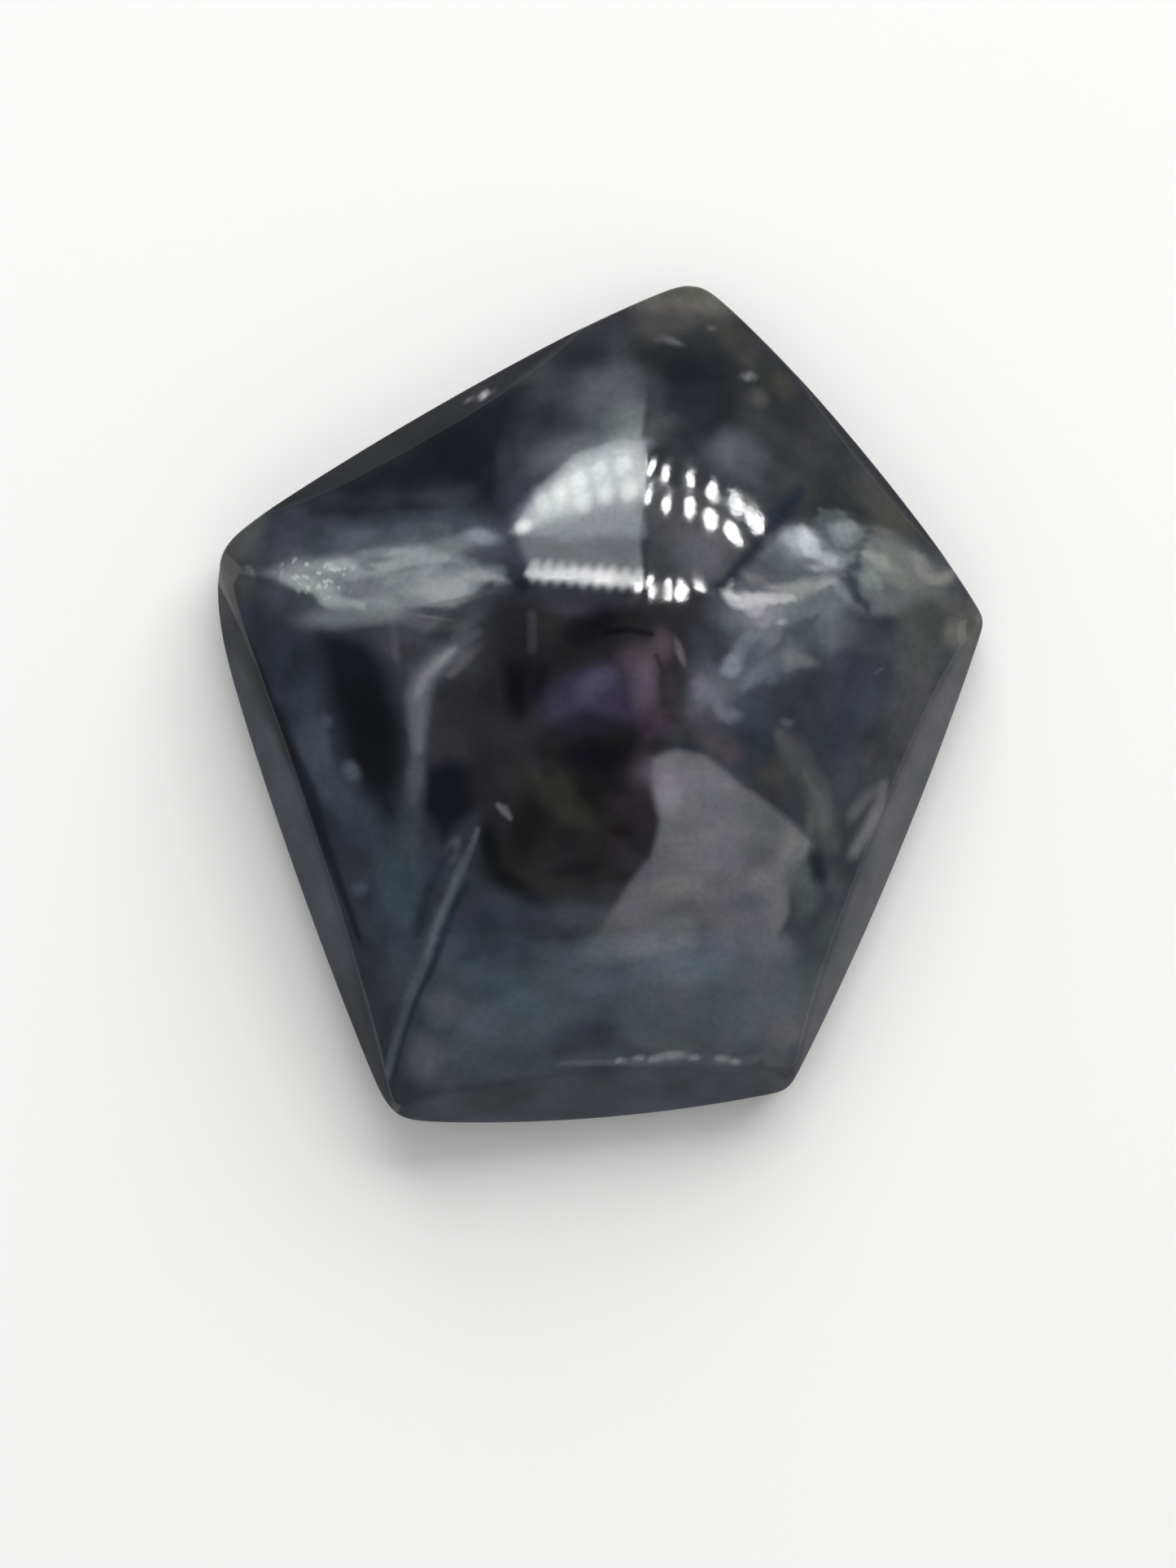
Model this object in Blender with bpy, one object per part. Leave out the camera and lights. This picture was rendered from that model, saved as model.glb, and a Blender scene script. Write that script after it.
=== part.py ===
"""Velvet obsidian cabochon: a five-sided freeform stone with a domed top and a flat base.

The stone lies on its base at z = 0, with the origin under the middle of its outline. +Y runs along
its length and +Z points up. Lengths are in millimetres until the mesh is made, in metres.

The top is a height over each point of the plan. Every side has two sheets: a steep band that rises
from the girdle, and a facet that eases over into the dome. The lowest sheet wins at each point and
the joins are soft, so the facets meet in hips and each band meets its facet in a crease.
"""

import functools
import math
from collections import namedtuple

import bmesh
import bpy
import numpy as np

MM = 0.001

HEIGHT = 7.4  # from the flat base to the top of the dome
GIRDLE_LOW = 0.4  # lower edge of the girdle wall, above the bevel around the base
BASE_INSET = 0.4  # how far the flat base stays inside the outline
CREASE_EASE = 0.2  # how softly a band turns into its facet
APEX = np.array([-0.2, 0.3])  # the top of the dome, from the middle of the outline
DOME_RADIUS = 16.0  # curve of the dome around its top

# facing: the way the side looks, in degrees from +X. distance: from the middle to the side.
# bow: radius of the side's outward curve. edge_drop: how far its facet would fall from the top by the side.
# band_foot: height at which the band leaves the girdle wall, halfway along the side.
# band_slope: steepness of the band, in degrees.
Side = namedtuple("Side", "facing distance bow edge_drop band_foot band_slope")
SIDES = (
    Side(38.7, 12.95, 68.8, 4.7, 2.5, 55),  # upper right, where the band is no more than a blunted edge
    Side(120.0, 12.04, 105.6, 4.2, 2.8, 51),  # upper left
    Side(198.7, 12.26, 141.4, 4.8, 1.25, 62),  # lower left
    Side(276.3, 14.71, 49.2, 4.8, 1.45, 47),  # bottom
    Side(337.9, 11.95, 101.2, 5.1, 1.25, 60),  # lower right
)
FACET_BOW = 80.0  # outward curve of the facets
FLATTENING = 3.6  # the power by which a facet departs from the dome's curve

# The corner that follows each side, going round the same way. plan: crispness of the outline there.
# hip: crispness of the edge that runs up from it.
Corner = namedtuple("Corner", "plan hip")
CORNERS = (
    Corner(36, 2.7),  # top
    Corner(36, 4.5),  # left
    Corner(36, 16.0),  # bottom left
    Corner(110, 9.0),  # bottom right
    Corner(110, 5.5),  # right
)
DOME_CRISPNESS = 1.5  # the hips fade into the dome towards this
DOME_REACH = (0.5, 14.3)  # from the apex: where the hips start to show, and where they are whole

# The left corner was ground off flat.
NIP_FACING = 174.2
NIP_DISTANCE = 14.13

STEPS_PER_SIDE = 18
BAND_RINGS = 3
FACET_RINGS = 32
CORNER_CROWDING = 0.45  # how much the points crowd towards the corners
INNERMOST = 0.05  # size of the last ring, as a share of the ring on the crease
WIDEST_BAND = 0.3  # as a share of the distance from the apex to the outline
THINNEST_BAND = 0.015
CREASE_RING_SHARE = 0.9  # roughly where the crease runs, as such a share
TURNING_RINGS = 5  # rings over which the points turn from the outline's corners to the hips
HIPS_END = 0.4  # further in than this share the rings turn no more
HIP_SEARCH = math.radians(30)  # to each side of a corner
CORNER_SPREAD = math.radians(20)  # how far round a corner sets its crispness
HALVINGS = 30  # of an interval, to find where something changes inside it


def direction(degrees):
    return np.array([math.cos(math.radians(degrees)), math.sin(math.radians(degrees))])


def smooth_step(value, low, high):
    """From 0 at low to 1 at high, with no jump in slope or in curvature at either end."""
    t = np.clip((value - low) / (high - low), 0, 1)
    return t**3 * (10 - 15 * t + 6 * t * t)


def soft_min(a, b, ease):
    return 0.5 * (a + b - np.sqrt((a - b) ** 2 + ease**2))


def angle_between(a, b):
    """How far the angle a is from b, in radians, from -pi to pi."""
    return (a - b + math.pi) % (2 * math.pi) - math.pi


def headings_of(theta):
    return np.stack([np.cos(theta), np.sin(theta)], axis=-1)


def turning_point(holds, low, high):
    """Where the condition stops holding on the way from low to high."""
    for _ in range(HALVINGS):
        middle = (low + high) / 2
        held = holds(middle)
        low = np.where(held, middle, low)
        high = np.where(held, high, middle)
    return (low + high) / 2


@functools.lru_cache
def side_centres():
    """The centre of the arc that each side follows."""
    return [direction(s.facing) * (s.distance - s.bow) for s in SIDES]


def reach_to_arc(heading, centre, radius):
    """How far the arc is from the apex along each heading."""
    across = heading @ (centre - APEX)
    far = centre - APEX
    return across + np.sqrt(np.maximum(across**2 + radius**2 - far @ far, 1e-9))


def side_reaches(theta):
    """How far each side is from the apex along each heading."""
    heading = headings_of(theta)
    return [reach_to_arc(heading, c, s.bow) for c, s in zip(side_centres(), SIDES)]


@functools.lru_cache
def corner_angles():
    """The heading of each corner from the apex, where two neighbouring sides are as near."""
    angles = []
    for i, side in enumerate(SIDES):
        j = (i + 1) % len(SIDES)
        low = math.radians(side.facing)
        high = low + angle_between(math.radians(SIDES[j].facing), low)
        angles.append(float(turning_point(lambda t: side_reaches(t)[i] < side_reaches(t)[j], low, high)))
    return angles


def at_corners(theta, values):
    """A value that each corner sets near itself, mixed smoothly between the corners."""
    weights = [np.exp(-((angle_between(theta, a) / CORNER_SPREAD) ** 2)) for a in corner_angles()]
    return sum(w * v for w, v in zip(weights, values)) / sum(weights)


def reach_to_nip(theta):
    """How far the ground-off left corner is from the apex; very far where it isn't ahead."""
    nip = direction(NIP_FACING)
    ahead = np.maximum(headings_of(theta) @ nip, 0.01)
    return (NIP_DISTANCE - nip @ APEX) / ahead


def outline_reach(theta):
    """From the apex to the outline along each heading: (as cut, and with sharp corners)."""
    reaches = side_reaches(theta)
    sharp = np.min(reaches, axis=0)
    power = at_corners(theta, [c.plan for c in CORNERS])
    total = sum((sharp / r) ** power for r in reaches + [reach_to_nip(theta)])
    return sharp * total ** (-1 / power), sharp


def facet_drop(points, side):
    """How far the facet's sheet is below the top of the dome."""
    normal = direction(side.facing)
    run = side.distance - normal @ APEX
    centre = APEX + normal * (run - FACET_BOW)
    out = np.linalg.norm(points - centre, axis=-1) - (FACET_BOW - run)
    out = np.maximum(out, 0)
    departure = side.edge_drop - run**2 / (2 * DOME_RADIUS)
    return out**2 / (2 * DOME_RADIUS) + departure * (out / run) ** FLATTENING


def hip_crispness(points):
    away = points - APEX
    theta = np.arctan2(away[..., 1], away[..., 0])
    share = smooth_step(np.linalg.norm(away, axis=-1), *DOME_REACH)
    return DOME_CRISPNESS + (at_corners(theta, [c.hip for c in CORNERS]) - DOME_CRISPNESS) * share


def crown_height(points):
    """The facets and the dome, with no bands."""
    drops = [facet_drop(points, side) for side in SIDES]
    crispness = hip_crispness(points)
    deepest = np.maximum(np.max(drops, axis=0), 1e-9)
    return HEIGHT - deepest * sum((d / deepest) ** crispness for d in drops) ** (1 / crispness)


def band_height(points):
    """The bands, each of them ground flat."""
    heights = []
    for side in SIDES:
        inset = side.distance - points @ direction(side.facing)
        heights.append(side.band_foot + inset * math.tan(math.radians(side.band_slope)))
    lowest = heights[0]
    for height in heights[1:]:
        lowest = soft_min(lowest, height, CREASE_EASE)
    return lowest


def top_height(points):
    return soft_min(crown_height(points), band_height(points), CREASE_EASE)


def plan_points(theta, share, as_cut, sharp):
    """Points at a share of the way out to the outline: (as cut, and as if its corners were sharp).

    The second ones only serve to find the height. The rounding of the corners fades inwards.
    """
    heading = headings_of(theta)
    rounding = 1 + (sharp / as_cut - 1) * share**4
    cut = APEX + heading * (share * as_cut)[:, None]
    return cut, APEX + heading * (share * as_cut * rounding)[:, None]


def crease_share(theta, as_cut, sharp):
    """How far out the crease lies along each heading, as a share of the reach."""

    def on_facet(share):
        _, points = plan_points(theta, share, as_cut, sharp)
        return crown_height(points) < band_height(points)

    found = turning_point(on_facet, np.full_like(theta, 1 - WIDEST_BAND), np.ones_like(theta))
    return np.minimum(found, 1 - THINNEST_BAND)


def hip_angles(share):
    """The heading of each hip where it crosses the ring at this share of the reach."""
    angles = []
    for i, corner in enumerate(corner_angles()):

        def past_first_facet(theta):
            _, points = plan_points(theta, np.array([share]), *outline_reach(theta))
            return facet_drop(points, SIDES[i]) > facet_drop(points, SIDES[(i + 1) % len(SIDES)])

        corner = np.array([corner])
        found = turning_point(past_first_facet, corner - HIP_SEARCH, corner + HIP_SEARCH)
        angles.append(float(found[0]))
    return angles


def ring_headings(corners):
    """The headings of one ring's points: one on every corner, and more of them near it."""
    headings = []
    for i in range(len(corners)):
        span = angle_between(corners[i], corners[i - 1])
        for step in range(STEPS_PER_SIDE):
            t = step / STEPS_PER_SIDE
            t -= CORNER_CROWDING * math.sin(2 * math.pi * t) / (2 * math.pi)
            headings.append(corners[i - 1] + span * t)
    return np.array(headings)


def edge_rings():
    """The rings of the flat base, the girdle wall and the steep bands up to the crease."""
    theta = ring_headings(corner_angles())
    as_cut, sharp = outline_reach(theta)
    base, _ = plan_points(theta, 1 - BASE_INSET / as_cut, as_cut, sharp)
    outline, _ = plan_points(theta, np.ones_like(theta), as_cut, sharp)
    rings = [
        np.column_stack([base, np.zeros(len(theta))]),
        np.column_stack([outline, np.full(len(theta), GIRDLE_LOW)]),
    ]
    crease = crease_share(theta, as_cut, sharp)
    for ring in range(BAND_RINGS + 1):
        share = 1 - (1 - crease) * ring / BAND_RINGS
        points, full = plan_points(theta, share, as_cut, sharp)
        rings.append(np.column_stack([points, top_height(full)]))
    return rings


def facet_rings():
    """The rings from inside the crease up to the last one under the top of the dome."""
    rings = []
    for ring in range(1, FACET_RINGS + 1):
        inwards = 1 - (1 - INNERMOST) * ring / FACET_RINGS
        hips = hip_angles(max(CREASE_RING_SHARE * inwards, HIPS_END))
        turned = min(ring / TURNING_RINGS, 1)
        corners = [c + (h - c) * turned for c, h in zip(corner_angles(), hips)]
        theta = ring_headings(corners)
        as_cut, sharp = outline_reach(theta)
        share = crease_share(theta, as_cut, sharp) * inwards
        points, full = plan_points(theta, share, as_cut, sharp)
        rings.append(np.column_stack([points, top_height(full)]))
    return rings


def centred(rings):
    """The rings with the middle of their outline over the origin."""
    every = np.concatenate(rings)
    middle = (every.min(axis=0) + every.max(axis=0)) / 2
    return [ring - [middle[0], middle[1], 0] for ring in rings], middle


def build_stone(material):
    rings, middle = centred(edge_rings() + facet_rings())
    mesh = bmesh.new()
    loops = [[mesh.verts.new(point * MM) for point in ring] for ring in rings]
    mesh.faces.new(reversed(loops[0]))
    for lower, upper in zip(loops, loops[1:]):
        for i in range(len(lower)):
            j = (i + 1) % len(lower)
            mesh.faces.new((lower[i], lower[j], upper[j], upper[i]))
    top = mesh.verts.new(((APEX[0] - middle[0]) * MM, (APEX[1] - middle[1]) * MM, HEIGHT * MM))
    for i in range(len(loops[-1])):
        mesh.faces.new((loops[-1][i], loops[-1][(i + 1) % len(loops[-1])], top))
    data = bpy.data.meshes.new("stone")
    mesh.to_mesh(data)
    mesh.free()
    data.materials.append(material)
    data.shade_smooth()
    data.set_sharp_from_angle(angle=math.radians(30))
    stone = bpy.data.objects.new("stone", data)
    bpy.context.collection.objects.link(stone)
    return stone


def polished_glass():
    material = bpy.data.materials.new("polished_obsidian")
    material.use_nodes = True
    shader = material.node_tree.nodes["Principled BSDF"]
    shader.inputs["Base Color"].default_value = (0.022, 0.026, 0.031, 1)
    shader.inputs["Roughness"].default_value = 0.08
    shader.inputs["Metallic"].default_value = 0.0
    shader.inputs["IOR"].default_value = 1.49
    return material


def clear_scene():
    for thing in list(bpy.data.objects):
        bpy.data.objects.remove(thing, do_unlink=True)


clear_scene()
build_stone(polished_glass())
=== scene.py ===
"""The looks of the velvet obsidian cabochon: its polished glass, the white paper it lies on and the lamps.

The fine mesh follows the same sheets as the solid. Lengths are in millimetres until it is made, and what is
painted in the glass is placed in the stone's own frame.
"""

import functools
import itertools
import math
from collections import namedtuple

import bpy
import numpy as np
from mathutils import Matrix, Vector


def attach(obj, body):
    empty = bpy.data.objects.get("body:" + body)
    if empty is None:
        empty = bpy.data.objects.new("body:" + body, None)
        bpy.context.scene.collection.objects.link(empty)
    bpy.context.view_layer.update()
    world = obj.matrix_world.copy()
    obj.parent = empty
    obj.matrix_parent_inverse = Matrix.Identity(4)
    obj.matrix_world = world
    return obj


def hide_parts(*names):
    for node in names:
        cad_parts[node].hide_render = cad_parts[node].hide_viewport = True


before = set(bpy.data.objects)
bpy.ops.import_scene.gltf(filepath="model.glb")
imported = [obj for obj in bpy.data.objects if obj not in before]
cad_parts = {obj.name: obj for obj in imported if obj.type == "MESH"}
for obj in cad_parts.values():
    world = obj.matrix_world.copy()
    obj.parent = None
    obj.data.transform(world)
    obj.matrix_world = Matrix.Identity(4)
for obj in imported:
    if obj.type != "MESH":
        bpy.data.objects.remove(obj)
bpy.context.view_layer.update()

MM = 0.001
TINY = 1e-9  # keeps roots and divisions safe

# The form, with the same dimensions as the solid.

HEIGHT = 7.4  # from the flat base to the top of the dome
GIRDLE_LOW = 0.4  # lower edge of the girdle wall, above the bevel around the base
BASE_INSET = 0.4  # how far the flat base stays inside the outline
CREASE_EASE = 0.2  # how softly a band turns into its facet
APEX = np.array([-0.2, 0.3])  # the top of the dome, from the middle of the outline
DOME_RADIUS = 16.0  # curve of the dome around its top

# facing: the way the side looks, in degrees from +X. distance: from the middle to the side.
# bow: radius of the side's outward curve. edge_drop: how far its facet would fall from the top by the side.
# band_foot: height at which the band leaves the girdle wall, halfway along the side.
# band_slope: steepness of the band, in degrees.
Side = namedtuple("Side", "facing distance bow edge_drop band_foot band_slope")
SIDES = (
    Side(38.7, 12.95, 68.8, 4.7, 2.5, 55),  # upper right, where the band is no more than a blunted edge
    Side(120.0, 12.04, 105.6, 4.2, 2.8, 51),  # upper left
    Side(198.7, 12.26, 141.4, 4.8, 1.25, 62),  # lower left
    Side(276.3, 14.71, 49.2, 4.8, 1.45, 47),  # bottom
    Side(337.9, 11.95, 101.2, 5.1, 1.25, 60),  # lower right
)
FACET_BOW = 80.0  # outward curve of the facets
FLATTENING = 3.6  # the power by which a facet departs from the dome's curve

# The corner that follows each side, going round the same way. plan: crispness of the outline there.
# hip: crispness of the edge that runs up from it.
Corner = namedtuple("Corner", "plan hip")
CORNERS = (
    Corner(36, 2.7),  # top
    Corner(36, 4.5),  # left
    Corner(36, 16.0),  # bottom left
    Corner(110, 9.0),  # bottom right
    Corner(110, 5.5),  # right
)
ROUNDING_FADE = 4  # the power by which the rounding of the corners fades inwards
DOME_CRISPNESS = 1.5  # the hips fade into the dome towards this
DOME_REACH = (0.5, 14.3)  # from the apex: where the hips start to show, and where they are whole

# The left corner was ground off flat.
NIP_FACING = 174.2
NIP_DISTANCE = 14.13

# The fine mesh.

STEPS_PER_SIDE = 84
BASE_RINGS = 24
EDGE_ROUNDING = 0.18  # how far each edge of the girdle wall is rounded over
ROUNDING_RINGS = 4
WALL_RINGS = 8
BAND_RINGS = 12
BAND_START = 0.4  # how far in from the outline the bands' rings start, as a share of the rounding
FACET_RINGS = 165
CORNER_CROWDING = 0.45  # how much the points crowd towards the corners
INNERMOST = 0.01  # size of the last ring, as a share of the ring on the crease
WIDEST_BAND = 0.3  # as a share of the distance from the apex to the outline
THINNEST_BAND = 0.015
CREASE_RING_SHARE = 0.9  # roughly where the crease runs, as such a share
TURNING_SHARE = 0.15  # share of the facet rings that turn from the outline's corners to the hips
HIPS_END = 0.4  # further in than this share the rings turn no more
HIP_SEARCH = math.radians(30)  # to each side of a corner
CORNER_SPREAD = math.radians(20)  # how far round a corner sets its crispness
HALVINGS = 30  # of an interval, to find where something changes inside it

# How far the crown is above the band, in mm, where the bands' finish starts and where it is whole.
BAND_ONSET = (-0.25, 0.1)

# Small chips near the edges, and a worn stretch of the crease. Places are in the stone's own frame, sizes are
# half lengths and turns are in degrees.
Chip = namedtuple("Chip", "place size turn depth")
CHIPS = (
    Chip(place=(-4.15, 10.85), size=(0.34, 0.22), turn=25, depth=0.1),
    Chip(place=(-4.6, 10.7), size=(0.18, 0.14), turn=20, depth=0.04),
    Chip(place=(7.6, -5.8), size=(0.3, 0.5), turn=10, depth=0.05),
    Chip(place=(13.05, 2.6), size=(0.5, 0.6), turn=-20, depth=0.1),
    Chip(place=(2.0, -12.6), size=(3.2, 0.3), turn=1, depth=0.04),
    Chip(place=(5.25, 11.5), size=(0.24, 0.18), turn=10, depth=0.04),
)
CHIP_HEIGHTS = (1.0, 2.0)  # below the first nothing is pressed in, above the second the whole depth is


def direction(degrees):
    return np.array([math.cos(math.radians(degrees)), math.sin(math.radians(degrees))])


def smooth_step(value, low, high):
    """From 0 at low to 1 at high, with no jump in slope or in curvature at either end."""
    t = np.clip((value - low) / (high - low), 0, 1)
    return t**3 * (10 - 15 * t + 6 * t * t)


def soft_min(a, b, ease):
    return 0.5 * (a + b - np.sqrt((a - b) ** 2 + ease**2))


def angle_between(a, b):
    """How far the angle a is from b, in radians, from -pi to pi."""
    return (a - b + math.pi) % (2 * math.pi) - math.pi


def headings_of(theta):
    return np.stack([np.cos(theta), np.sin(theta)], axis=-1)


def turning_point(holds, low, high):
    """Where the condition stops holding on the way from low to high."""
    for _ in range(HALVINGS):
        middle = (low + high) / 2
        held = holds(middle)
        low = np.where(held, middle, low)
        high = np.where(held, high, middle)
    return (low + high) / 2


@functools.lru_cache
def side_centres():
    """The centre of the arc that each side follows."""
    return [direction(s.facing) * (s.distance - s.bow) for s in SIDES]


def reach_to_arc(heading, centre, radius):
    """How far the arc is from the apex along each heading."""
    across = heading @ (centre - APEX)
    far = centre - APEX
    return across + np.sqrt(np.maximum(across**2 + radius**2 - far @ far, TINY))


def side_reaches(theta):
    """How far each side is from the apex along each heading."""
    heading = headings_of(theta)
    return [reach_to_arc(heading, c, s.bow) for c, s in zip(side_centres(), SIDES)]


@functools.lru_cache
def corner_angles():
    """The heading of each corner from the apex, where two neighbouring sides are as near."""
    angles = []
    for i, side in enumerate(SIDES):
        j = (i + 1) % len(SIDES)
        low = math.radians(side.facing)
        high = low + angle_between(math.radians(SIDES[j].facing), low)
        angles.append(float(turning_point(lambda t: side_reaches(t)[i] < side_reaches(t)[j], low, high)))
    return angles


def at_corners(theta, values):
    """A value that each corner sets near itself, mixed smoothly between the corners."""
    weights = [np.exp(-((angle_between(theta, a) / CORNER_SPREAD) ** 2)) for a in corner_angles()]
    return sum(w * v for w, v in zip(weights, values)) / sum(weights)


def reach_to_nip(theta):
    """How far the ground-off left corner is from the apex; very far where it isn't ahead."""
    nip = direction(NIP_FACING)
    ahead = np.maximum(headings_of(theta) @ nip, 0.01)
    return (NIP_DISTANCE - nip @ APEX) / ahead


def outline_reach(theta):
    """From the apex to the outline along each heading: (as cut, and with sharp corners)."""
    reaches = side_reaches(theta)
    sharp = np.min(reaches, axis=0)
    power = at_corners(theta, [c.plan for c in CORNERS])
    total = sum((sharp / r) ** power for r in reaches + [reach_to_nip(theta)])
    return sharp * total ** (-1 / power), sharp


def facet_drop(points, side):
    """How far the facet's sheet is below the top of the dome."""
    normal = direction(side.facing)
    run = side.distance - normal @ APEX
    centre = APEX + normal * (run - FACET_BOW)
    out = np.linalg.norm(points - centre, axis=-1) - (FACET_BOW - run)
    out = np.maximum(out, 0)
    departure = side.edge_drop - run**2 / (2 * DOME_RADIUS)
    return out**2 / (2 * DOME_RADIUS) + departure * (out / run) ** FLATTENING


def hip_crispness(points):
    away = points - APEX
    theta = np.arctan2(away[..., 1], away[..., 0])
    share = smooth_step(np.linalg.norm(away, axis=-1), *DOME_REACH)
    return DOME_CRISPNESS + (at_corners(theta, [c.hip for c in CORNERS]) - DOME_CRISPNESS) * share


def crown_height(points):
    """The facets and the dome, with no bands."""
    drops = [facet_drop(points, side) for side in SIDES]
    crispness = hip_crispness(points)
    deepest = np.maximum(np.max(drops, axis=0), TINY)
    return HEIGHT - deepest * sum((d / deepest) ** crispness for d in drops) ** (1 / crispness)


def band_height(points):
    """The bands, each of them ground flat."""
    heights = []
    for side in SIDES:
        inset = side.distance - points @ direction(side.facing)
        heights.append(side.band_foot + inset * math.tan(math.radians(side.band_slope)))
    lowest = heights[0]
    for height in heights[1:]:
        lowest = soft_min(lowest, height, CREASE_EASE)
    return lowest


def steepness(points):
    """1 on the bands, 0 on the facets and the dome."""
    return smooth_step(crown_height(points) - band_height(points), *BAND_ONSET)


def top_height(points):
    return soft_min(crown_height(points), band_height(points), CREASE_EASE)


def plan_points(theta, share, as_cut, sharp):
    """Points at a share of the way out to the outline: (as cut, and as if its corners were sharp).

    The second ones only serve to find the height. The rounding of the corners fades inwards.
    """
    heading = headings_of(theta)
    rounding = 1 + (sharp / as_cut - 1) * share**ROUNDING_FADE
    cut = APEX + heading * (share * as_cut)[:, None]
    return cut, APEX + heading * (share * as_cut * rounding)[:, None]


def crease_share(theta, as_cut, sharp):
    """How far out the crease lies along each heading, as a share of the reach."""

    def on_facet(share):
        _, points = plan_points(theta, share, as_cut, sharp)
        return crown_height(points) < band_height(points)

    found = turning_point(on_facet, np.full_like(theta, 1 - WIDEST_BAND), np.ones_like(theta))
    return np.minimum(found, 1 - THINNEST_BAND)


def hip_angles(shares):
    """The heading of each hip where it crosses the rings at these shares of the reach."""
    angles = []
    for i, corner in enumerate(corner_angles()):

        def past_first_facet(theta):
            _, points = plan_points(theta, shares, *outline_reach(theta))
            return facet_drop(points, SIDES[i]) > facet_drop(points, SIDES[(i + 1) % len(SIDES)])

        start = np.full_like(shares, corner)
        angles.append(turning_point(past_first_facet, start - HIP_SEARCH, start + HIP_SEARCH))
    return np.array(angles)


def ring_headings(corners):
    """The headings of one ring's points: one on every corner, and more of them near it."""
    t = np.arange(STEPS_PER_SIDE) / STEPS_PER_SIDE
    t = t - CORNER_CROWDING * np.sin(2 * np.pi * t) / (2 * np.pi)
    spans = [angle_between(corners[i], corners[i - 1]) for i in range(len(corners))]
    return np.concatenate([corners[i - 1] + span * t for i, span in enumerate(spans)])


def rounded(before, edge, after):
    """Rings that turn from one point to the other past an edge, without reaching it."""
    rings = []
    for step in range(ROUNDING_RINGS + 1):
        t = step / ROUNDING_RINGS
        rings.append((1 - t) ** 2 * before + 2 * t * (1 - t) * edge + t * t * after)
    return rings


def stand(plan, height):
    return np.column_stack([plan, np.broadcast_to(height, len(plan))])


def edge_rings():
    """The rings of the flat base, the girdle wall and the steep bands up to the crease."""
    theta = ring_headings(corner_angles())
    as_cut, sharp = outline_reach(theta)
    heading = headings_of(theta)

    def inside(depth):
        return plan_points(theta, 1 - depth / as_cut, as_cut, sharp)

    base, _ = inside(BASE_INSET)
    outline, _ = inside(0.0)
    rings = []
    for ring in range(1, BASE_RINGS):
        share = ring / BASE_RINGS
        rings.append(stand(APEX + (base - APEX) * share, 0.0))
    bevel_step = heading * (EDGE_ROUNDING / math.sqrt(2))
    on_bevel_low = stand(base + bevel_step, EDGE_ROUNDING / math.sqrt(2))
    on_bevel_high = stand(outline - bevel_step, GIRDLE_LOW - EDGE_ROUNDING / math.sqrt(2))
    rings += rounded(stand(base - heading * EDGE_ROUNDING, 0.0), stand(base, 0.0), on_bevel_low)
    wall_foot = GIRDLE_LOW + EDGE_ROUNDING
    rings += rounded(on_bevel_high, stand(outline, GIRDLE_LOW), stand(outline, wall_foot))

    crease = crease_share(theta, as_cut, sharp)
    _, full = inside(0.0)
    wall_top = top_height(full)
    for ring in range(1, WALL_RINGS):
        share = ring / WALL_RINGS
        rings.append(stand(outline, wall_foot + (wall_top - EDGE_ROUNDING - wall_foot) * share))
    start_depth = EDGE_ROUNDING * BAND_START
    start, start_full = inside(start_depth)
    rings += rounded(
        stand(outline, wall_top - EDGE_ROUNDING),
        stand(outline, wall_top),
        stand(start, top_height(start_full)),
    )
    first_share = 1 - start_depth / as_cut
    for ring in range(1, BAND_RINGS + 1):
        share = first_share - (first_share - crease) * ring / BAND_RINGS
        points, full = plan_points(theta, share, as_cut, sharp)
        rings.append(stand(points, top_height(full)))
    return rings


def facet_rings():
    """The rings from inside the crease up to the last one under the top of the dome."""
    climbs = np.arange(1, FACET_RINGS + 1) / FACET_RINGS
    inwards = 1 - (1 - INNERMOST) * climbs
    hips = hip_angles(np.maximum(CREASE_RING_SHARE * inwards, HIPS_END))
    turned = np.minimum(climbs / TURNING_SHARE, 1)
    corners = np.array(corner_angles())
    rings = []
    for ring in range(FACET_RINGS):
        theta = ring_headings(corners + (hips[:, ring] - corners) * turned[ring])
        as_cut, sharp = outline_reach(theta)
        share = crease_share(theta, as_cut, sharp) * inwards[ring]
        points, full = plan_points(theta, share, as_cut, sharp)
        rings.append(stand(points, top_height(full)))
    return rings


def centre_offset(rings):
    """The middle of the outline, which the stone's own frame has under its origin."""
    every = np.concatenate(rings)
    middle = (every.min(axis=0) + every.max(axis=0)) / 2
    return np.array([middle[0], middle[1], 0])


def ring_faces(ring_count, around):
    faces = []
    for ring in range(ring_count - 1):
        low = ring * around
        high = low + around
        for i in range(around):
            j = (i + 1) % around
            faces.append((low + i, low + j, high + j, high + i))
    return faces


def fan_faces(first, around, tip, upwards):
    faces = []
    for i in range(around):
        j = (i + 1) % around
        faces.append((first + i, first + j, tip) if upwards else (first + j, first + i, tip))
    return faces


def press_chips_in(points):
    """Lowers the points of the top inside each chip."""
    on_top = smooth_step(points[:, 2], *CHIP_HEIGHTS)
    for chip in CHIPS:
        away = points[:, :2] - chip.place
        along = away @ direction(chip.turn) / chip.size[0]
        across = away @ direction(chip.turn + 90) / chip.size[1]
        points[:, 2] -= chip.depth * on_top * smooth_step(np.hypot(along, across), 1, 0)


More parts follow.
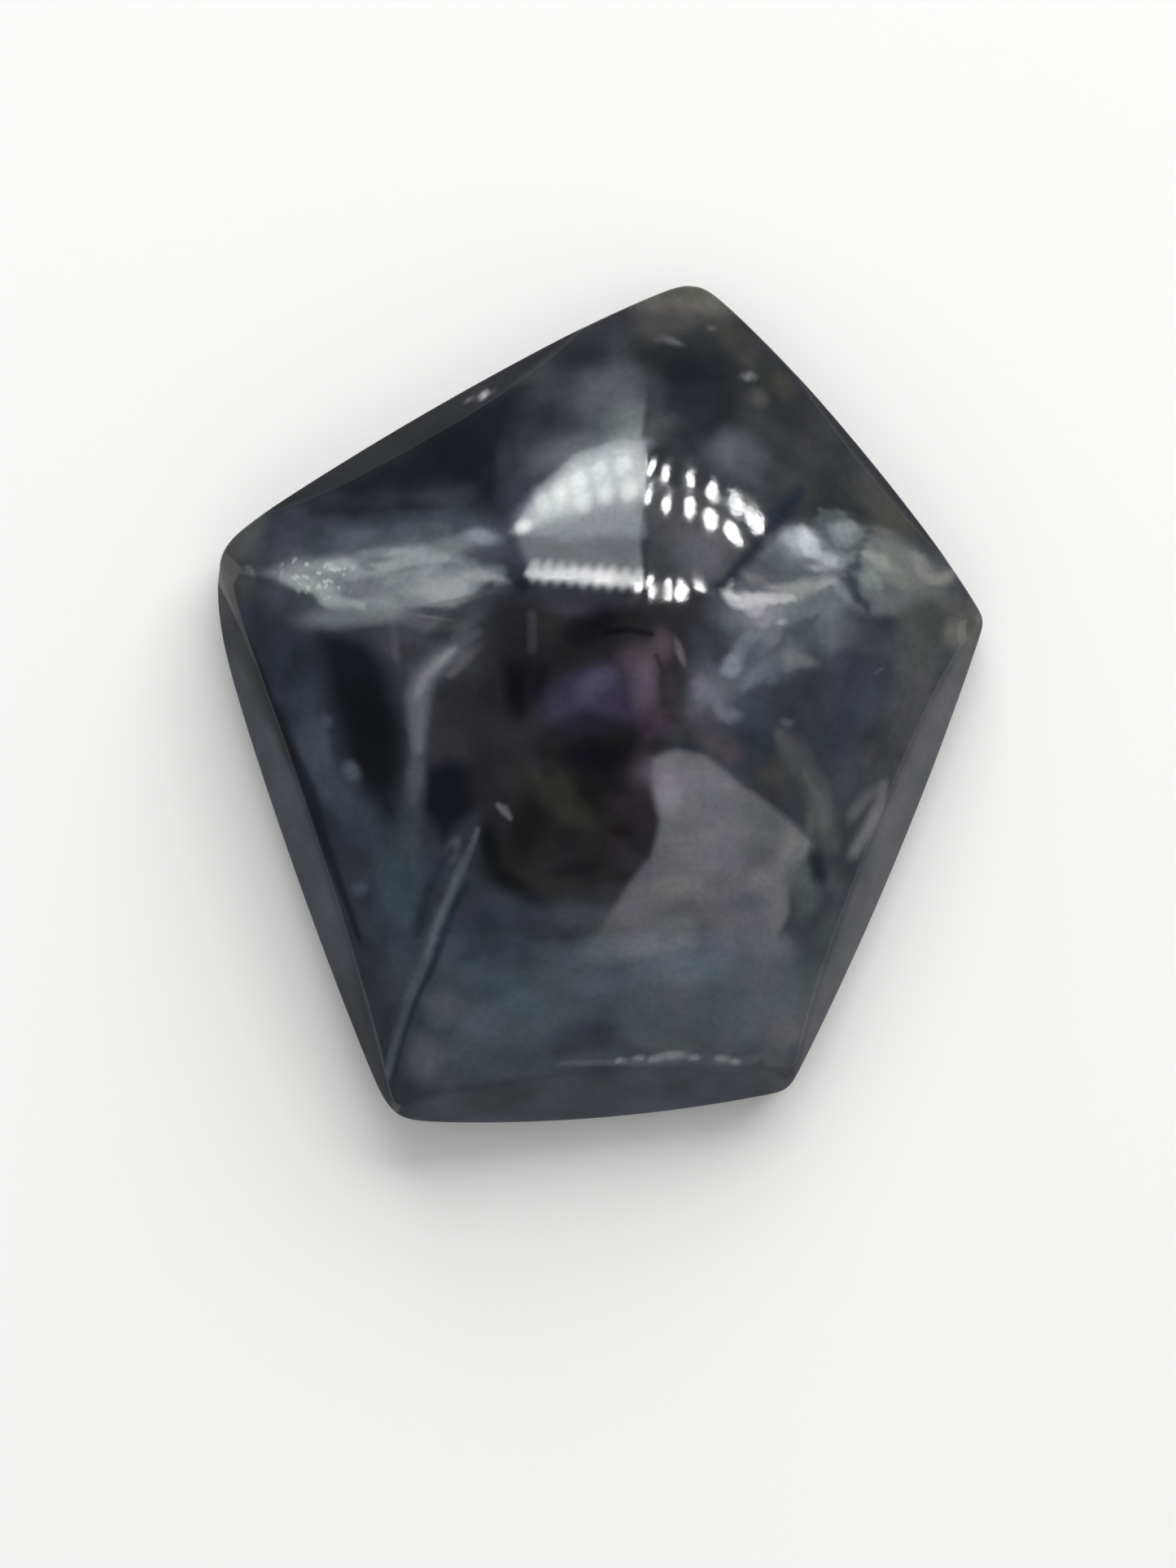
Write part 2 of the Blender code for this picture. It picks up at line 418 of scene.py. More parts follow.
def stone_mesh():
    """The painted stone, with the middle of its outline on the origin."""
    edge = edge_rings()
    rings = edge + facet_rings()
    around = len(rings[0])
    points = np.concatenate(rings + [[[*APEX, 0.0]], [[*APEX, HEIGHT]]])
    on_band = steepness(points[:, :2])
    below_bands = (len(edge) - BAND_RINGS - ROUNDING_RINGS) * around
    on_band[:below_bands] = 1  # the wall and the base have the bands' finish
    points -= centre_offset(rings)
    press_chips_in(points)
    under, over = len(points) - 2, len(points) - 1
    faces = ring_faces(len(rings), around)
    faces += fan_faces(0, around, under, upwards=False)
    faces += fan_faces((len(rings) - 1) * around, around, over, upwards=True)
    mesh = bpy.data.meshes.new("polished_stone")
    mesh.from_pydata((points * MM).tolist(), [], faces)
    mesh.validate()
    mesh.shade_smooth()
    paint(mesh, Glass(points, on_band))
    return mesh


class Kit:
    """Shortcuts for building a node tree. Every input takes either a fixed value or another node's output."""

    def __init__(self, tree):
        self.tree = tree

    def node(self, kind, **settings):
        node = self.tree.nodes.new(kind)
        for name, value in settings.items():
            setattr(node, name, value)
        return node

    def feed(self, socket, value):
        if isinstance(value, bpy.types.NodeSocket):
            self.tree.links.new(value, socket)
        elif socket.type == "RGBA":
            socket.default_value = (*value, 1)
        else:
            socket.default_value = value

    def math(self, operation, *values):
        node = self.node("ShaderNodeMath", operation=operation)
        for socket, value in zip(node.inputs, values):
            self.feed(socket, value)
        return node.outputs[0]

    def vector(self, operation, *values):
        node = self.node("ShaderNodeVectorMath", operation=operation)
        sockets = [socket for socket in node.inputs if socket.enabled]
        for socket, value in zip(sockets, values):
            self.feed(socket, value)
        return next(socket for socket in node.outputs if socket.enabled)

    def fade(self, value, low, high):
        """From 0 where the value is at low to 1 where it is at high, easing at both ends."""
        node = self.node("ShaderNodeMapRange", interpolation_type="SMOOTHSTEP", clamp=False)
        for name, number in (("Value", value), ("From Min", low), ("From Max", high)):
            self.feed(node.inputs[name], number)
        return node.outputs["Result"]

    def noise(self, place, grain, detail=2.0):
        """Clouds of about that size in mm, from 0 to 1."""
        node = self.node("ShaderNodeTexNoise")
        for name, value in (("Vector", place), ("Scale", 1 / grain), ("Detail", detail)):
            self.feed(node.inputs[name], value)
        return node.outputs["Fac"]

    def about_one(self, noise, swing):
        """The noise, swinging by that much in all around 1."""
        return self.math("MULTIPLY_ADD", noise, swing, 1 - swing / 2)

    def mix(self, share, below, above):
        """The colour below where share is 0, and the one above where it is 1."""
        node = self.node("ShaderNodeMix", data_type="RGBA")
        for socket, value in ((node.inputs[0], share), (node.inputs[6], below), (node.inputs[7], above)):
            self.feed(socket, value)
        return node.outputs[2]


# Colours of the glass are linear, in thousandths.
SLATE = (28, 32, 42)
INK = (2, 3, 6)

# Roughness of the glass.
GLOSS = 0.05  # where the polish is best
HAZY_FINISH = 0.21  # under the blurred left part of the reflections
THREAD_FINISH = 0.3
WORN_FINISH = 0.4
CHIP_FINISH = 0.5
BAND_FINISH = 0.65  # on the bands and the girdle wall
BAND_FINISH_WHOLE = 0.45  # how far on the way from facet to band it is whole
BACK_FINISH = 0.16

# Heights between which something fades in: the wall's clouds, the pale corners and the back.
WALL_HEIGHTS = (2.7, 1.9)
CORNER_HEIGHTS = (0.4, 2.4)
BACK_HEIGHTS = (0.5, 0.2)

# Random numbers on a lattice that repeats. The clouds run smoothly between them.
LATTICE = np.random.default_rng(11).random((48, 48, 48, 3))
OCTAVE_SHIFT = 5.7  # so that finer clouds don't repeat the coarser ones


def clouds(points, grain, octaves=2):
    """Three smooth random numbers for each point, around 0, that wander over about the grain's size."""
    total = np.zeros((len(points), 3))
    for octave in range(octaves):
        place = points * (2**octave / grain) + OCTAVE_SHIFT * octave
        cell = np.floor(place).astype(int)
        share = smooth_step(place - cell, 0, 1)
        for corner in itertools.product((0, 1), repeat=3):
            weight = np.prod(np.where(corner, share, 1 - share), axis=1)
            x, y, z = ((cell + corner) % len(LATTICE)).T
            total += weight[:, None] * (LATTICE[x, y, z] - 0.5) / 2**octave
    return total


def shaken(plan, by, grain, octaves=2, stretch=(1, 1, 1)):
    """The plan with its points moved by clouds, so that what is painted on it gets natural edges."""
    return (plan + by * clouds(plan * stretch, grain, octaves))[:, :2]


class Glass:
    """The glass at a set of points in the stone's frame. It is painted layer over layer, in plan."""

    def __init__(self, points, on_band):
        self.points = points
        plan = points * (1, 1, 0)
        self.height = points[:, 2]
        self.on_band = on_band
        self.soft = shaken(plan, by=0.6, grain=2.5)
        self.ragged = shaken(plan, by=0.5, grain=0.9, octaves=3)
        self.streaky = shaken(plan, by=0.4, grain=0.6, octaves=3, stretch=(0.4, 1, 1))
        self.clean = shaken(plan, by=0.12, grain=1.5)
        # Clouds from 0 to 1.
        self.patches = smooth_step(clouds(points, 1.1, octaves=4)[:, 0], -0.3, 0.3)
        self.smoky = smooth_step(clouds(points, 2.4)[:, 0], -0.4, 0.4)
        self.glinting_flecks = smooth_step(clouds(points, 0.2)[:, 0], 0.19, 0.34)
        self.colour = np.tile(SLATE, (len(points), 1)) / 1000
        self.roughness = np.full(len(points), GLOSS)

    def spot(self, at, size, turn=0.0, edge=0.8, place=None):
        """An ellipse with these half lengths, fading out across its rim by that share of them."""
        away = (self.soft if place is None else place) - at
        along = away @ direction(turn) / size[0]
        across = away @ direction(turn + 90) / size[1]
        return smooth_step(np.hypot(along, across), 1 + edge, 1 - edge)

    def stroke(self, points, width, edge=0.7, place=None):
        """A line through the points. The width is one number, or one for each point."""
        place = self.clean if place is None else place
        widths = np.broadcast_to(width, len(points))
        nearest = np.full(len(place), np.inf)
        for i in range(len(points) - 1):
            run = np.subtract(points[i + 1], points[i])
            along = np.clip((place - points[i]) @ run / (run @ run), 0, 1)
            out = np.linalg.norm(place - points[i] - along[:, None] * run, axis=1)
            half = (widths[i] + (widths[i + 1] - widths[i]) * along) / 2
            nearest = np.minimum(nearest, out / half)
        return smooth_step(nearest, 1 + edge, 1 - edge)

    def patch(self, corners, edge=0.3, place=None):
        """A patch with these corners, fading out over the edge's width in mm to both sides of its border."""
        place = self.soft if place is None else place
        nearest = np.full(len(place), np.inf)
        inside = np.zeros(len(place), bool)
        for start, end in zip(corners, corners[1:] + corners[:1]):
            run = np.subtract(end, start)
            away = place - start
            along = np.clip(away @ run / (run @ run), 0, 1)
            nearest = np.minimum(nearest, np.linalg.norm(away - along[:, None] * run, axis=1))
            if run[1] != 0:
                crosses = (place[:, 1] >= start[1]) != (place[:, 1] >= end[1])
                inside ^= crosses & (away[:, 0] < away[:, 1] * run[0] / run[1])
        return smooth_step(np.where(inside, nearest, -nearest), -edge, edge)

    def tint(self, mask, colour, strength=1.0, patchy=0.0):
        """Lays a colour over the glass inside the mask; where it is patchy, clouds let what is below show."""
        share = (mask * strength * (1 - patchy * (1 - self.patches)))[:, None]
        self.colour = self.colour * (1 - share) + np.array(colour) / 1000 * share

    def fill(self, corners, colour, strength=1.0, **rim):
        """Lays a patch over the glass."""
        self.tint(self.patch(corners, **rim), colour, strength)

    def spots(self, *rows, strength=1.0, within=1.0, **rim):
        """Lays spots over each other. A row is a spot's place, half lengths, colour and, if any, turn."""
        for at, size, colour, *turn in rows:
            self.tint(within * self.spot(at, size, *turn, **rim), colour, strength)

    def strokes(self, *rows, strength=1.0, **rim):
        """Lays strokes over each other. A row is a stroke's points, width and colour."""
        for points, width, colour in rows:
            self.tint(self.stroke(points, width, **rim), colour, strength)

    def dull(self, mask, roughness):
        """Takes the polish down inside the mask."""
        self.roughness = self.roughness * (1 - mask) + roughness * mask


def paint_upper_facets(glass):
    """Smoky grey by the top corner and along the upper right side, near black on the upper left."""
    glass.spots(
        ((2.5, 11.5), (5.0, 3.8), (20, 21, 24)),
        ((8.2, 8.2), (4.6, 2.4), (23, 24, 26), -50),
        ((3.1, 14.7), (1.7, 0.8), (70, 68, 58)),
        ((2.3, 13.6), (1.2, 0.5), (32, 32, 30), 20),
        ((4.6, 13.0), (1.3, 0.5), (31, 31, 28), -45),
        ((-0.3, 12.4), (1.2, 0.6), (13, 15, 18), 30),
        ((0.6, 12.1), (0.5, 0.8), (31, 32, 37)),
        ((-2.7, 11.3), (0.9, 0.35), (25, 26, 27), 30),
        ((10.2, 6.7), (1.3, 0.6), (38, 37, 33), -50),
        ((6.2, 11.4), (0.7, 0.4), (34, 33, 29), -50),
        ((6.4, 10.3), (0.7, 0.6), (15, 16, 17)),
        ((4.5, 8.6), (0.7, 0.6), (66, 70, 82)),
        ((5.3, 8.2), (0.6, 0.7), (52, 56, 66)),
        ((6.2, 7.9), (0.8, 0.5), (30, 32, 34)),
    )
    upper_left = [
        (-2.6, 11.3), (-5.4, 10.4), (-11.8, 7.5), (-11.4, 6.6), (-8.0, 6.9), (-5.6, 7.2), (-3.6, 6.7),
        (-3.3, 8.6),
    ]
    glass.fill(upper_left, (5, 6, 9), edge=0.9)
    glass.spots(
        ((-7.6, 8.4), (1.6, 0.4), (8, 9, 12), 27),
        ((-9.3, 6.55), (1.7, 0.3), (9, 11, 15)),
        ((-5.0, 7.0), (0.7, 0.35), (24, 27, 36), 20),
        ((-6.2, 6.6), (0.7, 0.25), (14, 16, 21)),
        ((-10.7, 6.4), (0.5, 0.35), (25, 27, 37)),
        ((-12.1, 6.3), (0.5, 0.4), (56, 59, 60), 40),
    )


def paint_top_column(glass):
    """A pale column over the reflections, cut off straight at its right, beside a clear black patch. The
    column is a painted glow of the lamps, spread upwards by the hazy polish.
    """
    glass.spots(
        ((3.3, 11.4), (1.3, 1.4), (6, 7, 9)),
        ((3.2, 10.3), (1.3, 0.7), (12, 13, 17)),
        ((2.1, 10.3), (0.45, 1.0), (22, 25, 29)),
        ((2.2, 9.3), (0.7, 0.45), (38, 43, 46)),
        ((3.9, 9.5), (0.4, 0.7), (13, 14, 19), -20),
    )
    column = [(1.75, 12.6), (1.35, 8.0), (-4.0, 6.0), (-4.0, 12.6)]
    left_of_line = glass.patch(column, edge=0.12, place=glass.clean)
    # The column left of the line: a painted glow of the lamps, spread upwards by the hazy polish.
    glass.spots(
        ((0.6, 11.2), (1.0, 0.7), (44, 47, 54)),
        ((0.4, 10.3), (1.4, 0.7), (64, 70, 80)),
        ((-0.6, 9.8), (1.0, 0.6), (50, 55, 64), 20),
        ((0.9, 9.9), (0.8, 0.6), (90, 104, 107)),
        ((0.9, 9.2), (0.9, 0.5), (128, 146, 148), 20),
        ((-0.6, 9.1), (1.1, 0.45), (84, 91, 102), 25),
        ((-1.7, 8.5), (0.9, 0.45), (62, 67, 79), 30),
        within=left_of_line,
    )
    glass.tint(glass.spot((-3.4, 8.2), (0.25, 0.9)), (24, 27, 34))
    glass.spots(
        ((2.5, 12.75), (0.36, 0.12), (75, 75, 76), -25),
        ((2.1, 12.85), (0.2, 0.12), (48, 48, 50)),
        ((5.25, 11.5), (0.24, 0.14), (120, 120, 118), 10),
        ((5.55, 10.75), (0.3, 0.35), (56, 55, 52)),
        ((3.95, 13.25), (0.13, 0.1), (70, 69, 64)),
        place=glass.clean,
    )


def paint_left_facet(glass):
    """Blue grey glass with a clear black wedge, and a painted highlight that curves down beside it, on the
    shoulder where the facet meets the dome.
    """
    glass.spots(
        ((-11.4, 0.6), (1.8, 1.7), (28, 33, 47)),
        ((-12.2, 2.4), (0.7, 1.0), (20, 24, 34)),
        ((-10.5, 1.6), (0.6, 0.9), (15, 18, 26)),
        ((-9.8, -1.9), (0.8, 2.0), (44, 56, 74), 18),
        ((-9.0, -3.4), (0.9, 1.3), (42, 54, 71), 22),
        ((-9.0, -1.2), (0.25, 0.6), (20, 24, 34), 20),
        ((-9.6, -4.7), (0.5, 1.2), (24, 28, 40), 18),
        ((-8.5, -4.6), (0.6, 0.8), (33, 39, 54)),
        ((-7.3, -4.3), (0.45, 0.9), (21, 26, 39)),
        ((-7.0, -6.2), (0.8, 1.7), (44, 61, 78), 8),
        ((-8.6, -7.6), (0.6, 1.6), (31, 37, 47), 18),
        ((-7.2, -8.4), (0.6, 1.0), (36, 43, 59), 12),
        ((-8.0, -9.9), (0.5, 1.3), (16, 20, 27), 15),
        ((-7.6, -11.5), (0.35, 0.9), (26, 31, 40), 15),
        ((-5.0, -0.6), (1.1, 1.8), (21, 19, 23)),
        ((-4.4, -1.0), (0.6, 0.8), (28, 26, 27)),
        ((-6.9, 2.3), (0.9, 0.6), (40, 41, 48)),
        ((-6.2, 1.8), (0.5, 0.4), (27, 27, 33)),
    )
    # A near-black patch beside the dark middle.
    near_black_patch = [
        (-6.1, -2.3), (-5.2, -1.9), (-4.1, -2.2), (-3.8, -3.6), (-4.5, -4.2), (-5.4, -5.0), (-6.2, -3.8),
    ]
    glass.fill(near_black_patch, (1, 2, 5), edge=0.55)
    wedge = [
        (-10.2, 3.1), (-9.7, 1.0), (-9.2, -0.5), (-8.2, -2.5), (-7.2, -4.0), (-6.7, -2.6), (-6.7, -0.8),
        (-6.9, 0.9), (-7.6, 1.9), (-8.8, 3.0),
    ]
    glass.fill(wedge, (3, 4, 8), edge=0.7)
    glass.tint(glass.spot((-7.8, -0.7), (0.75, 1.9), 15), (0, 0, 1))
    glass.tint(glass.stroke([(-7.15, 2.7), (-7.05, 1.5)], 0.25, edge=0.9), (66, 65, 75), 0.6)
    lower_tip = [(-9.4, -7.6), (-7.7, -8.8), (-6.9, -10.0), (-7.1, -12.0), (-7.6, -13.8), (-8.6, -11.0)]
    glass.fill(lower_tip, (15, 18, 25), 0.9, edge=0.6)
    rim = [(-12.9, 3.0), (-11.7, -0.1), (-10.5, -3.3), (-9.9, -5.2), (-9.4, -7.0)]
    glass.tint(glass.stroke(rim, (0.3, 0.6, 0.6, 0.4, 0.2), edge=0.95), (5, 7, 11))
    glass.spots(
        ((-8.7, -2.45), (0.34, 0.27), (78, 102, 120), -45),
        ((-9.6, -0.65), (0.22, 0.2), (62, 70, 92)),
        ((-8.4, -6.55), (0.28, 0.18), (64, 80, 102)),
        place=glass.clean,
    )
    # A painted highlight along the shoulder between the facet and the dome, brightest at its upper end.
    pale_line = [
        (-4.2, 2.3), (-5.0, 1.8), (-5.6, 1.35), (-6.1, 0.8), (-6.3, 0.1), (-6.3, -0.7), (-6.3, -1.6),
        (-6.4, -2.8), (-6.6, -4.0), (-6.6, -5.2),
    ]
    glass.strokes(
        (pale_line, (0.3, 0.6, 0.8, 0.9, 0.8, 0.7, 0.6, 0.6, 0.7, 0.6), (56, 63, 77)),
        (pale_line[1:7], (0.3, 0.5, 0.7, 0.75, 0.6, 0.4), (112, 118, 130)),
        (pale_line[1:5], (0.1, 0.26, 0.36, 0.2), (178, 180, 196)),
        ([(-6.35, -1.9), (-6.4, -2.5), (-6.5, -3.4)], (0.3, 0.45, 0.3), (74, 84, 92)),
        edge=0.95,
    )
    glass.strokes(
        ([(-4.1, 1.9), (-4.7, 1.4), (-5.2, 0.9)], (0.25, 0.4, 0.25), (82, 80, 88)),
        ([(-4.3, 2.8), (-5.0, 2.2)], 0.3, (60, 59, 66)),
        strength=0.8,
        edge=0.95,
    )


def paint_left_streak(glass):
    """A painted highlight: the lamps mirrored along the left hip as a pale streak that runs in from the left
    corner, with brighter threads and painted glints on its grains.
    """
    glass.tint(glass.spot((-12.8, 4.9), (0.9, 1.0), 10), (68, 71, 73))
    glass.tint(glass.spot((-13.4, 3.9), (0.3, 0.6)), (16, 17, 20))
    # A faint painted glow around the highlight.
    reflection_patch = [
        (-12.4, 5.0), (-11.4, 3.3), (-9.5, 2.6), (-6.0, 2.6), (-4.3, 3.0), (-3.4, 4.1), (-4.4, 6.1),
        (-8.0, 6.1), (-11.4, 5.6),
    ]
    glass.fill(reflection_patch, (40, 45, 56), edge=0.6)
    glass.spots(
        ((-9.0, 3.15), (1.5, 0.35), (136, 148, 166)),
        ((-7.5, 3.15), (1.1, 0.3), (136, 144, 162)),
        ((-5.6, 2.95), (0.9, 0.25), (82, 83, 93)),
        ((-5.6, 6.0), (1.6, 0.3), (34, 40, 53)),
    )
    above = [(-10.8, 5.2), (-9.0, 5.5), (-7.0, 5.7), (-5.2, 5.9)]
    glass.tint(glass.stroke(above, (0.4, 0.8, 0.8, 0.4), edge=0.95, place=glass.streaky), (58, 65, 78))
    # The core of the painted highlight, with brighter threads over it.
    core = [
        (-12.0, 4.8), (-11.0, 4.2), (-10.0, 3.5), (-8.8, 3.15), (-6.8, 3.3), (-5.0, 3.25), (-4.2, 3.9),
        (-3.3, 4.15), (-3.4, 4.45), (-4.2, 4.65), (-5.3, 5.35), (-6.2, 5.45), (-8.0, 5.15), (-10.4, 5.1),
    ]
    glass.tint(glass.patch(core, edge=0.35, place=glass.streaky), (194, 212, 226), patchy=0.2)
    glass.strokes(
        ([(-11.1, 4.45), (-10.2, 4.05), (-9.4, 3.65), (-8.3, 3.45)], (0.3, 0.6, 0.6, 0.3), (282, 318, 322)),
        ([(-10.7, 4.65), (-10.0, 4.75), (-9.3, 4.7)], (0.3, 0.3, 0.3), (224, 242, 258)),
        ([(-9.5, 4.65), (-8.9, 4.62), (-8.3, 4.55)], (0.35, 0.5, 0.3), (285, 305, 312)),
        ([(-7.9, 4.7), (-7.0, 4.95), (-6.2, 5.1), (-5.5, 5.05)], (0.3, 0.45, 0.45, 0.25), (258, 276, 290)),
        ([(-6.4, 4.0), (-5.6, 3.85), (-4.9, 3.85)], (0.35, 0.5, 0.3), (250, 265, 264)),
        ([(-8.7, 4.25), (-8.0, 4.35), (-7.3, 4.8), (-6.6, 4.95)], (0.3, 0.5, 0.5, 0.3), (264, 288, 294)),
        ([(-7.3, 4.3), (-6.8, 4.25), (-6.3, 4.1)], (0.3, 0.4, 0.3), (216, 232, 246)),
        ([(-7.4, 4.0), (-6.6, 4.3), (-6.0, 4.4)], (0.25, 0.3, 0.2), (220, 235, 250)),
        ([(-4.9, 4.2), (-4.1, 4.2), (-3.5, 4.25)], (0.3, 0.35, 0.2), (208, 218, 220)),
        strength=0.9, edge=0.95, place=glass.streaky,
    )
    glass.strokes(
        ([(-8.4, 4.85), (-7.8, 4.6)], (0.2, 0.3), (140, 160, 170)),
        ([(-8.7, 3.95), (-7.8, 3.85), (-7.0, 3.6), (-6.2, 3.45)], (0.2, 0.3, 0.25, 0.15), (150, 162, 175)),
        ([(-5.5, 4.7), (-5.0, 4.75), (-4.5, 4.7)], (0.3, 0.4, 0.35), (122, 138, 148)),
        ([(-5.8, 3.4), (-4.9, 3.55), (-4.3, 3.65)], 0.16, (120, 124, 126)),
        strength=0.85, edge=0.95, place=glass.streaky,
    )
    glass.tint(glass.spot((-5.3, 5.15), (0.8, 0.3), 5), (140, 152, 165), 0.8)
    glass.tint(glass.spot((-4.3, 5.5), (0.55, 0.3)), (140, 164, 188))
    glass.tint(glass.stroke([(-6.3, 2.98), (-5.7, 2.9), (-5.1, 2.72)], 0.08), (125, 125, 135), 0.8)
    below = [(-3.7, 4.0), (-4.7, 3.1), (-5.7, 2.3)]
    glass.tint(glass.stroke(below, (0.2, 0.5, 0.4), edge=0.95), (26, 26, 30), 0.6)
    # Painted glints on the grains, which are also rougher.
    grains = glass.spot((-9.9, 4.45), (1.3, 0.6), -14, edge=0.35)
    glass.tint(grains * glass.glinting_flecks, (460, 500, 500), 0.8)
    glass.dull(grains * glass.glinting_flecks, WORN_FINISH)
    glass.tint(glass.spot((-12.2, 4.82), (0.22, 0.13), -35, edge=0.7), (165, 182, 185))


def paint_centre(glass):
    """The nearly black middle, where the camera overhead is mirrored, with violet and wine-coloured clouds: a
    painted reflection of a camera lens above the stone.
    """
    middle = [
        (-3.7, 3.7), (-4.3, 1.5), (-4.6, -1.5), (-4.1, -4.0), (-4.0, -5.8), (-2.4, -7.1), (0.5, -7.0),
        (1.6, -5.8), (1.95, -4.2), (1.9, -2.0), (2.8, -0.4), (3.2, 2.2), (3.9, 3.8),
    ]
    glass.fill(middle, (13, 12, 13), edge=0.7)
    # The violet and wine-coloured spots are a painted reflection of the camera lens.
    glass.spots(
        ((-0.3, 3.4), (1.7, 0.3), (25, 24, 33)),
        ((3.1, 3.1), (0.7, 0.5), (15, 15, 19)),
        ((-3.3, 2.9), (0.6, 0.5), (12, 12, 15)),
        ((-0.6, 2.6), (0.9, 0.45), (5, 5, 7)),
        ((-3.4, -0.8), (1.2, 0.8), (18, 18, 20)),
        ((-3.0, 0.5), (0.45, 1.0), (0, 0, 1), 4),
        ((-2.2, 0.7), (0.3, 0.6), (6, 6, 9)),
        ((-0.6, 0.3), (1.4, 0.8), (34, 30, 56), 30),
        ((-0.2, 0.7), (0.7, 0.45), (44, 40, 72), 30),
        ((0.7, -0.1), (0.8, 0.7), (30, 25, 46)),
        ((-0.6, -0.9), (0.9, 0.4), (17, 16, 25)),
        ((1.2, 1.4), (0.6, 0.7), (50, 38, 48)),
        ((1.3, 0.45), (0.42, 0.9), (80, 63, 86), 5),
        ((2.0, 1.9), (0.4, 0.5), (50, 38, 48)),
        ((1.7, -0.8), (0.5, 0.6), (42, 29, 41)),
        ((2.05, 0.6), (0.2, 0.6), (22, 16, 22)),
        ((2.35, -0.45), (0.28, 0.25), (22, 14, 19)),
        ((2.6, 1.6), (0.13, 0.4), (74, 68, 80), 12),
        ((1.45, -2.4), (0.4, 0.9), (34, 26, 33)),
        ((1.35, -4.0), (0.45, 0.8), (21, 15, 21)),
        ((0.8, -3.5), (0.5, 0.4), (26, 18, 25)),
        ((0.5, -5.3), (0.4, 0.5), (26, 19, 23)),
        ((1.2, -5.7), (0.5, 0.4), (31, 27, 36)),
        ((0.55, -4.5), (0.4, 0.22), (9, 5, 6)),
        ((-1.6, -3.2), (0.9, 0.6), (29, 28, 24), -40),
        ((-1.0, -3.9), (0.7, 0.4), (25, 25, 21), -30),
        ((-2.0, -2.5), (0.5, 0.3), (19, 17, 20), -40),
        ((-1.6, -5.0), (0.9, 0.5), (12, 10, 11)),
        ((-0.9, -5.8), (0.7, 0.3), (4, 3, 4)),
        ((-0.2, -2.0), (0.9, 0.5), (8, 7, 12)),
        ((-3.65, -5.1), (0.35, 0.9), (0, 0, 0), 5),
        ((-2.9, -6.3), (0.8, 0.35), (0, 0, 0), -25),
        ((-2.2, -6.8), (0.5, 0.25), (0, 1, 4), -20),
        ((0.6, -6.6), (0.9, 0.3), (28, 26, 33)),
    )
    glass.strokes(
        ([(-2.4, 2.9), (-2.35, 1.75)], (0.3, 0.25), (36, 32, 40)),
        ([(0.1, 2.35), (0.9, 2.42), (1.7, 2.25)], 0.2, (6, 5, 6)),
        ([(-3.55, -3.6), (-3.3, -3.75), (-3.05, -4.0)], (0.16, 0.28, 0.16), (96, 98, 104)),
        ([(1.9, 1.5), (2.2, 0.9)], 0.15, (20, 14, 18)),
        edge=0.8,
    )


def paint_grey_patch(glass):
    """A painted reflection right of the middle: a flat grey patch with a sharp slanting edge."""
    # The painted reflection, faded out downwards into the lower facet.
    reflection_patch = [
        (1.8, -2.0), (1.9, -3.2), (2.0, -4.2), (1.7, -5.4), (0.8, -6.6), (0.0, -8.0), (0.5, -9.5),
        (6.0, -9.5), (6.25, -7.9), (6.7, -6.2), (7.4, -4.9), (6.6, -4.15), (5.0, -3.0), (3.6, -1.9),
        (2.6, -1.65),
    ]
    fading_down = smooth_step(glass.soft[:, 1], -9.2, -7.0)
    glass.tint(glass.patch(reflection_patch, edge=0.22, place=glass.clean) * fading_down, (126, 127, 140))
    glass.spots(
        ((2.6, -2.4), (0.9, 0.6), (158, 151, 170)),
        ((2.3, -3.1), (0.4, 0.6), (200, 193, 216)),
        ((3.8, -2.8), (0.8, 0.5), (144, 145, 162), -30),
        ((4.8, -3.7), (0.9, 0.5), (104, 108, 119), -30),
        ((6.1, -4.4), (0.6, 0.35), (94, 96, 100), -35),
        ((7.0, -4.75), (0.6, 0.25), (124, 129, 127), -30),
        ((3.2, -4.15), (0.8, 0.25), (116, 117, 131)),
        ((4.3, -4.4), (0.6, 0.3), (134, 135, 150)),
        ((5.4, -5.0), (0.6, 0.5), (112, 113, 118)),
        ((6.5, -5.6), (0.3, 0.7), (140, 145, 142), -10),
        ((2.4, -6.5), (0.8, 0.45), (178, 176, 176), 10),
        ((1.6, -6.9), (0.5, 0.3), (130, 131, 134)),
        ((4.1, -6.3), (0.6, 0.5), (102, 103, 114)),
        ((5.6, -6.1), (0.5, 0.5), (174, 176, 183)),
        ((6.25, -7.2), (0.25, 0.7), (140, 142, 148), -5),
        ((4.6, -7.2), (1.0, 0.4), (98, 103, 121)),
        ((2.5, -7.8), (0.6, 0.3), (158, 162, 180)),
        strength=0.95,
    )


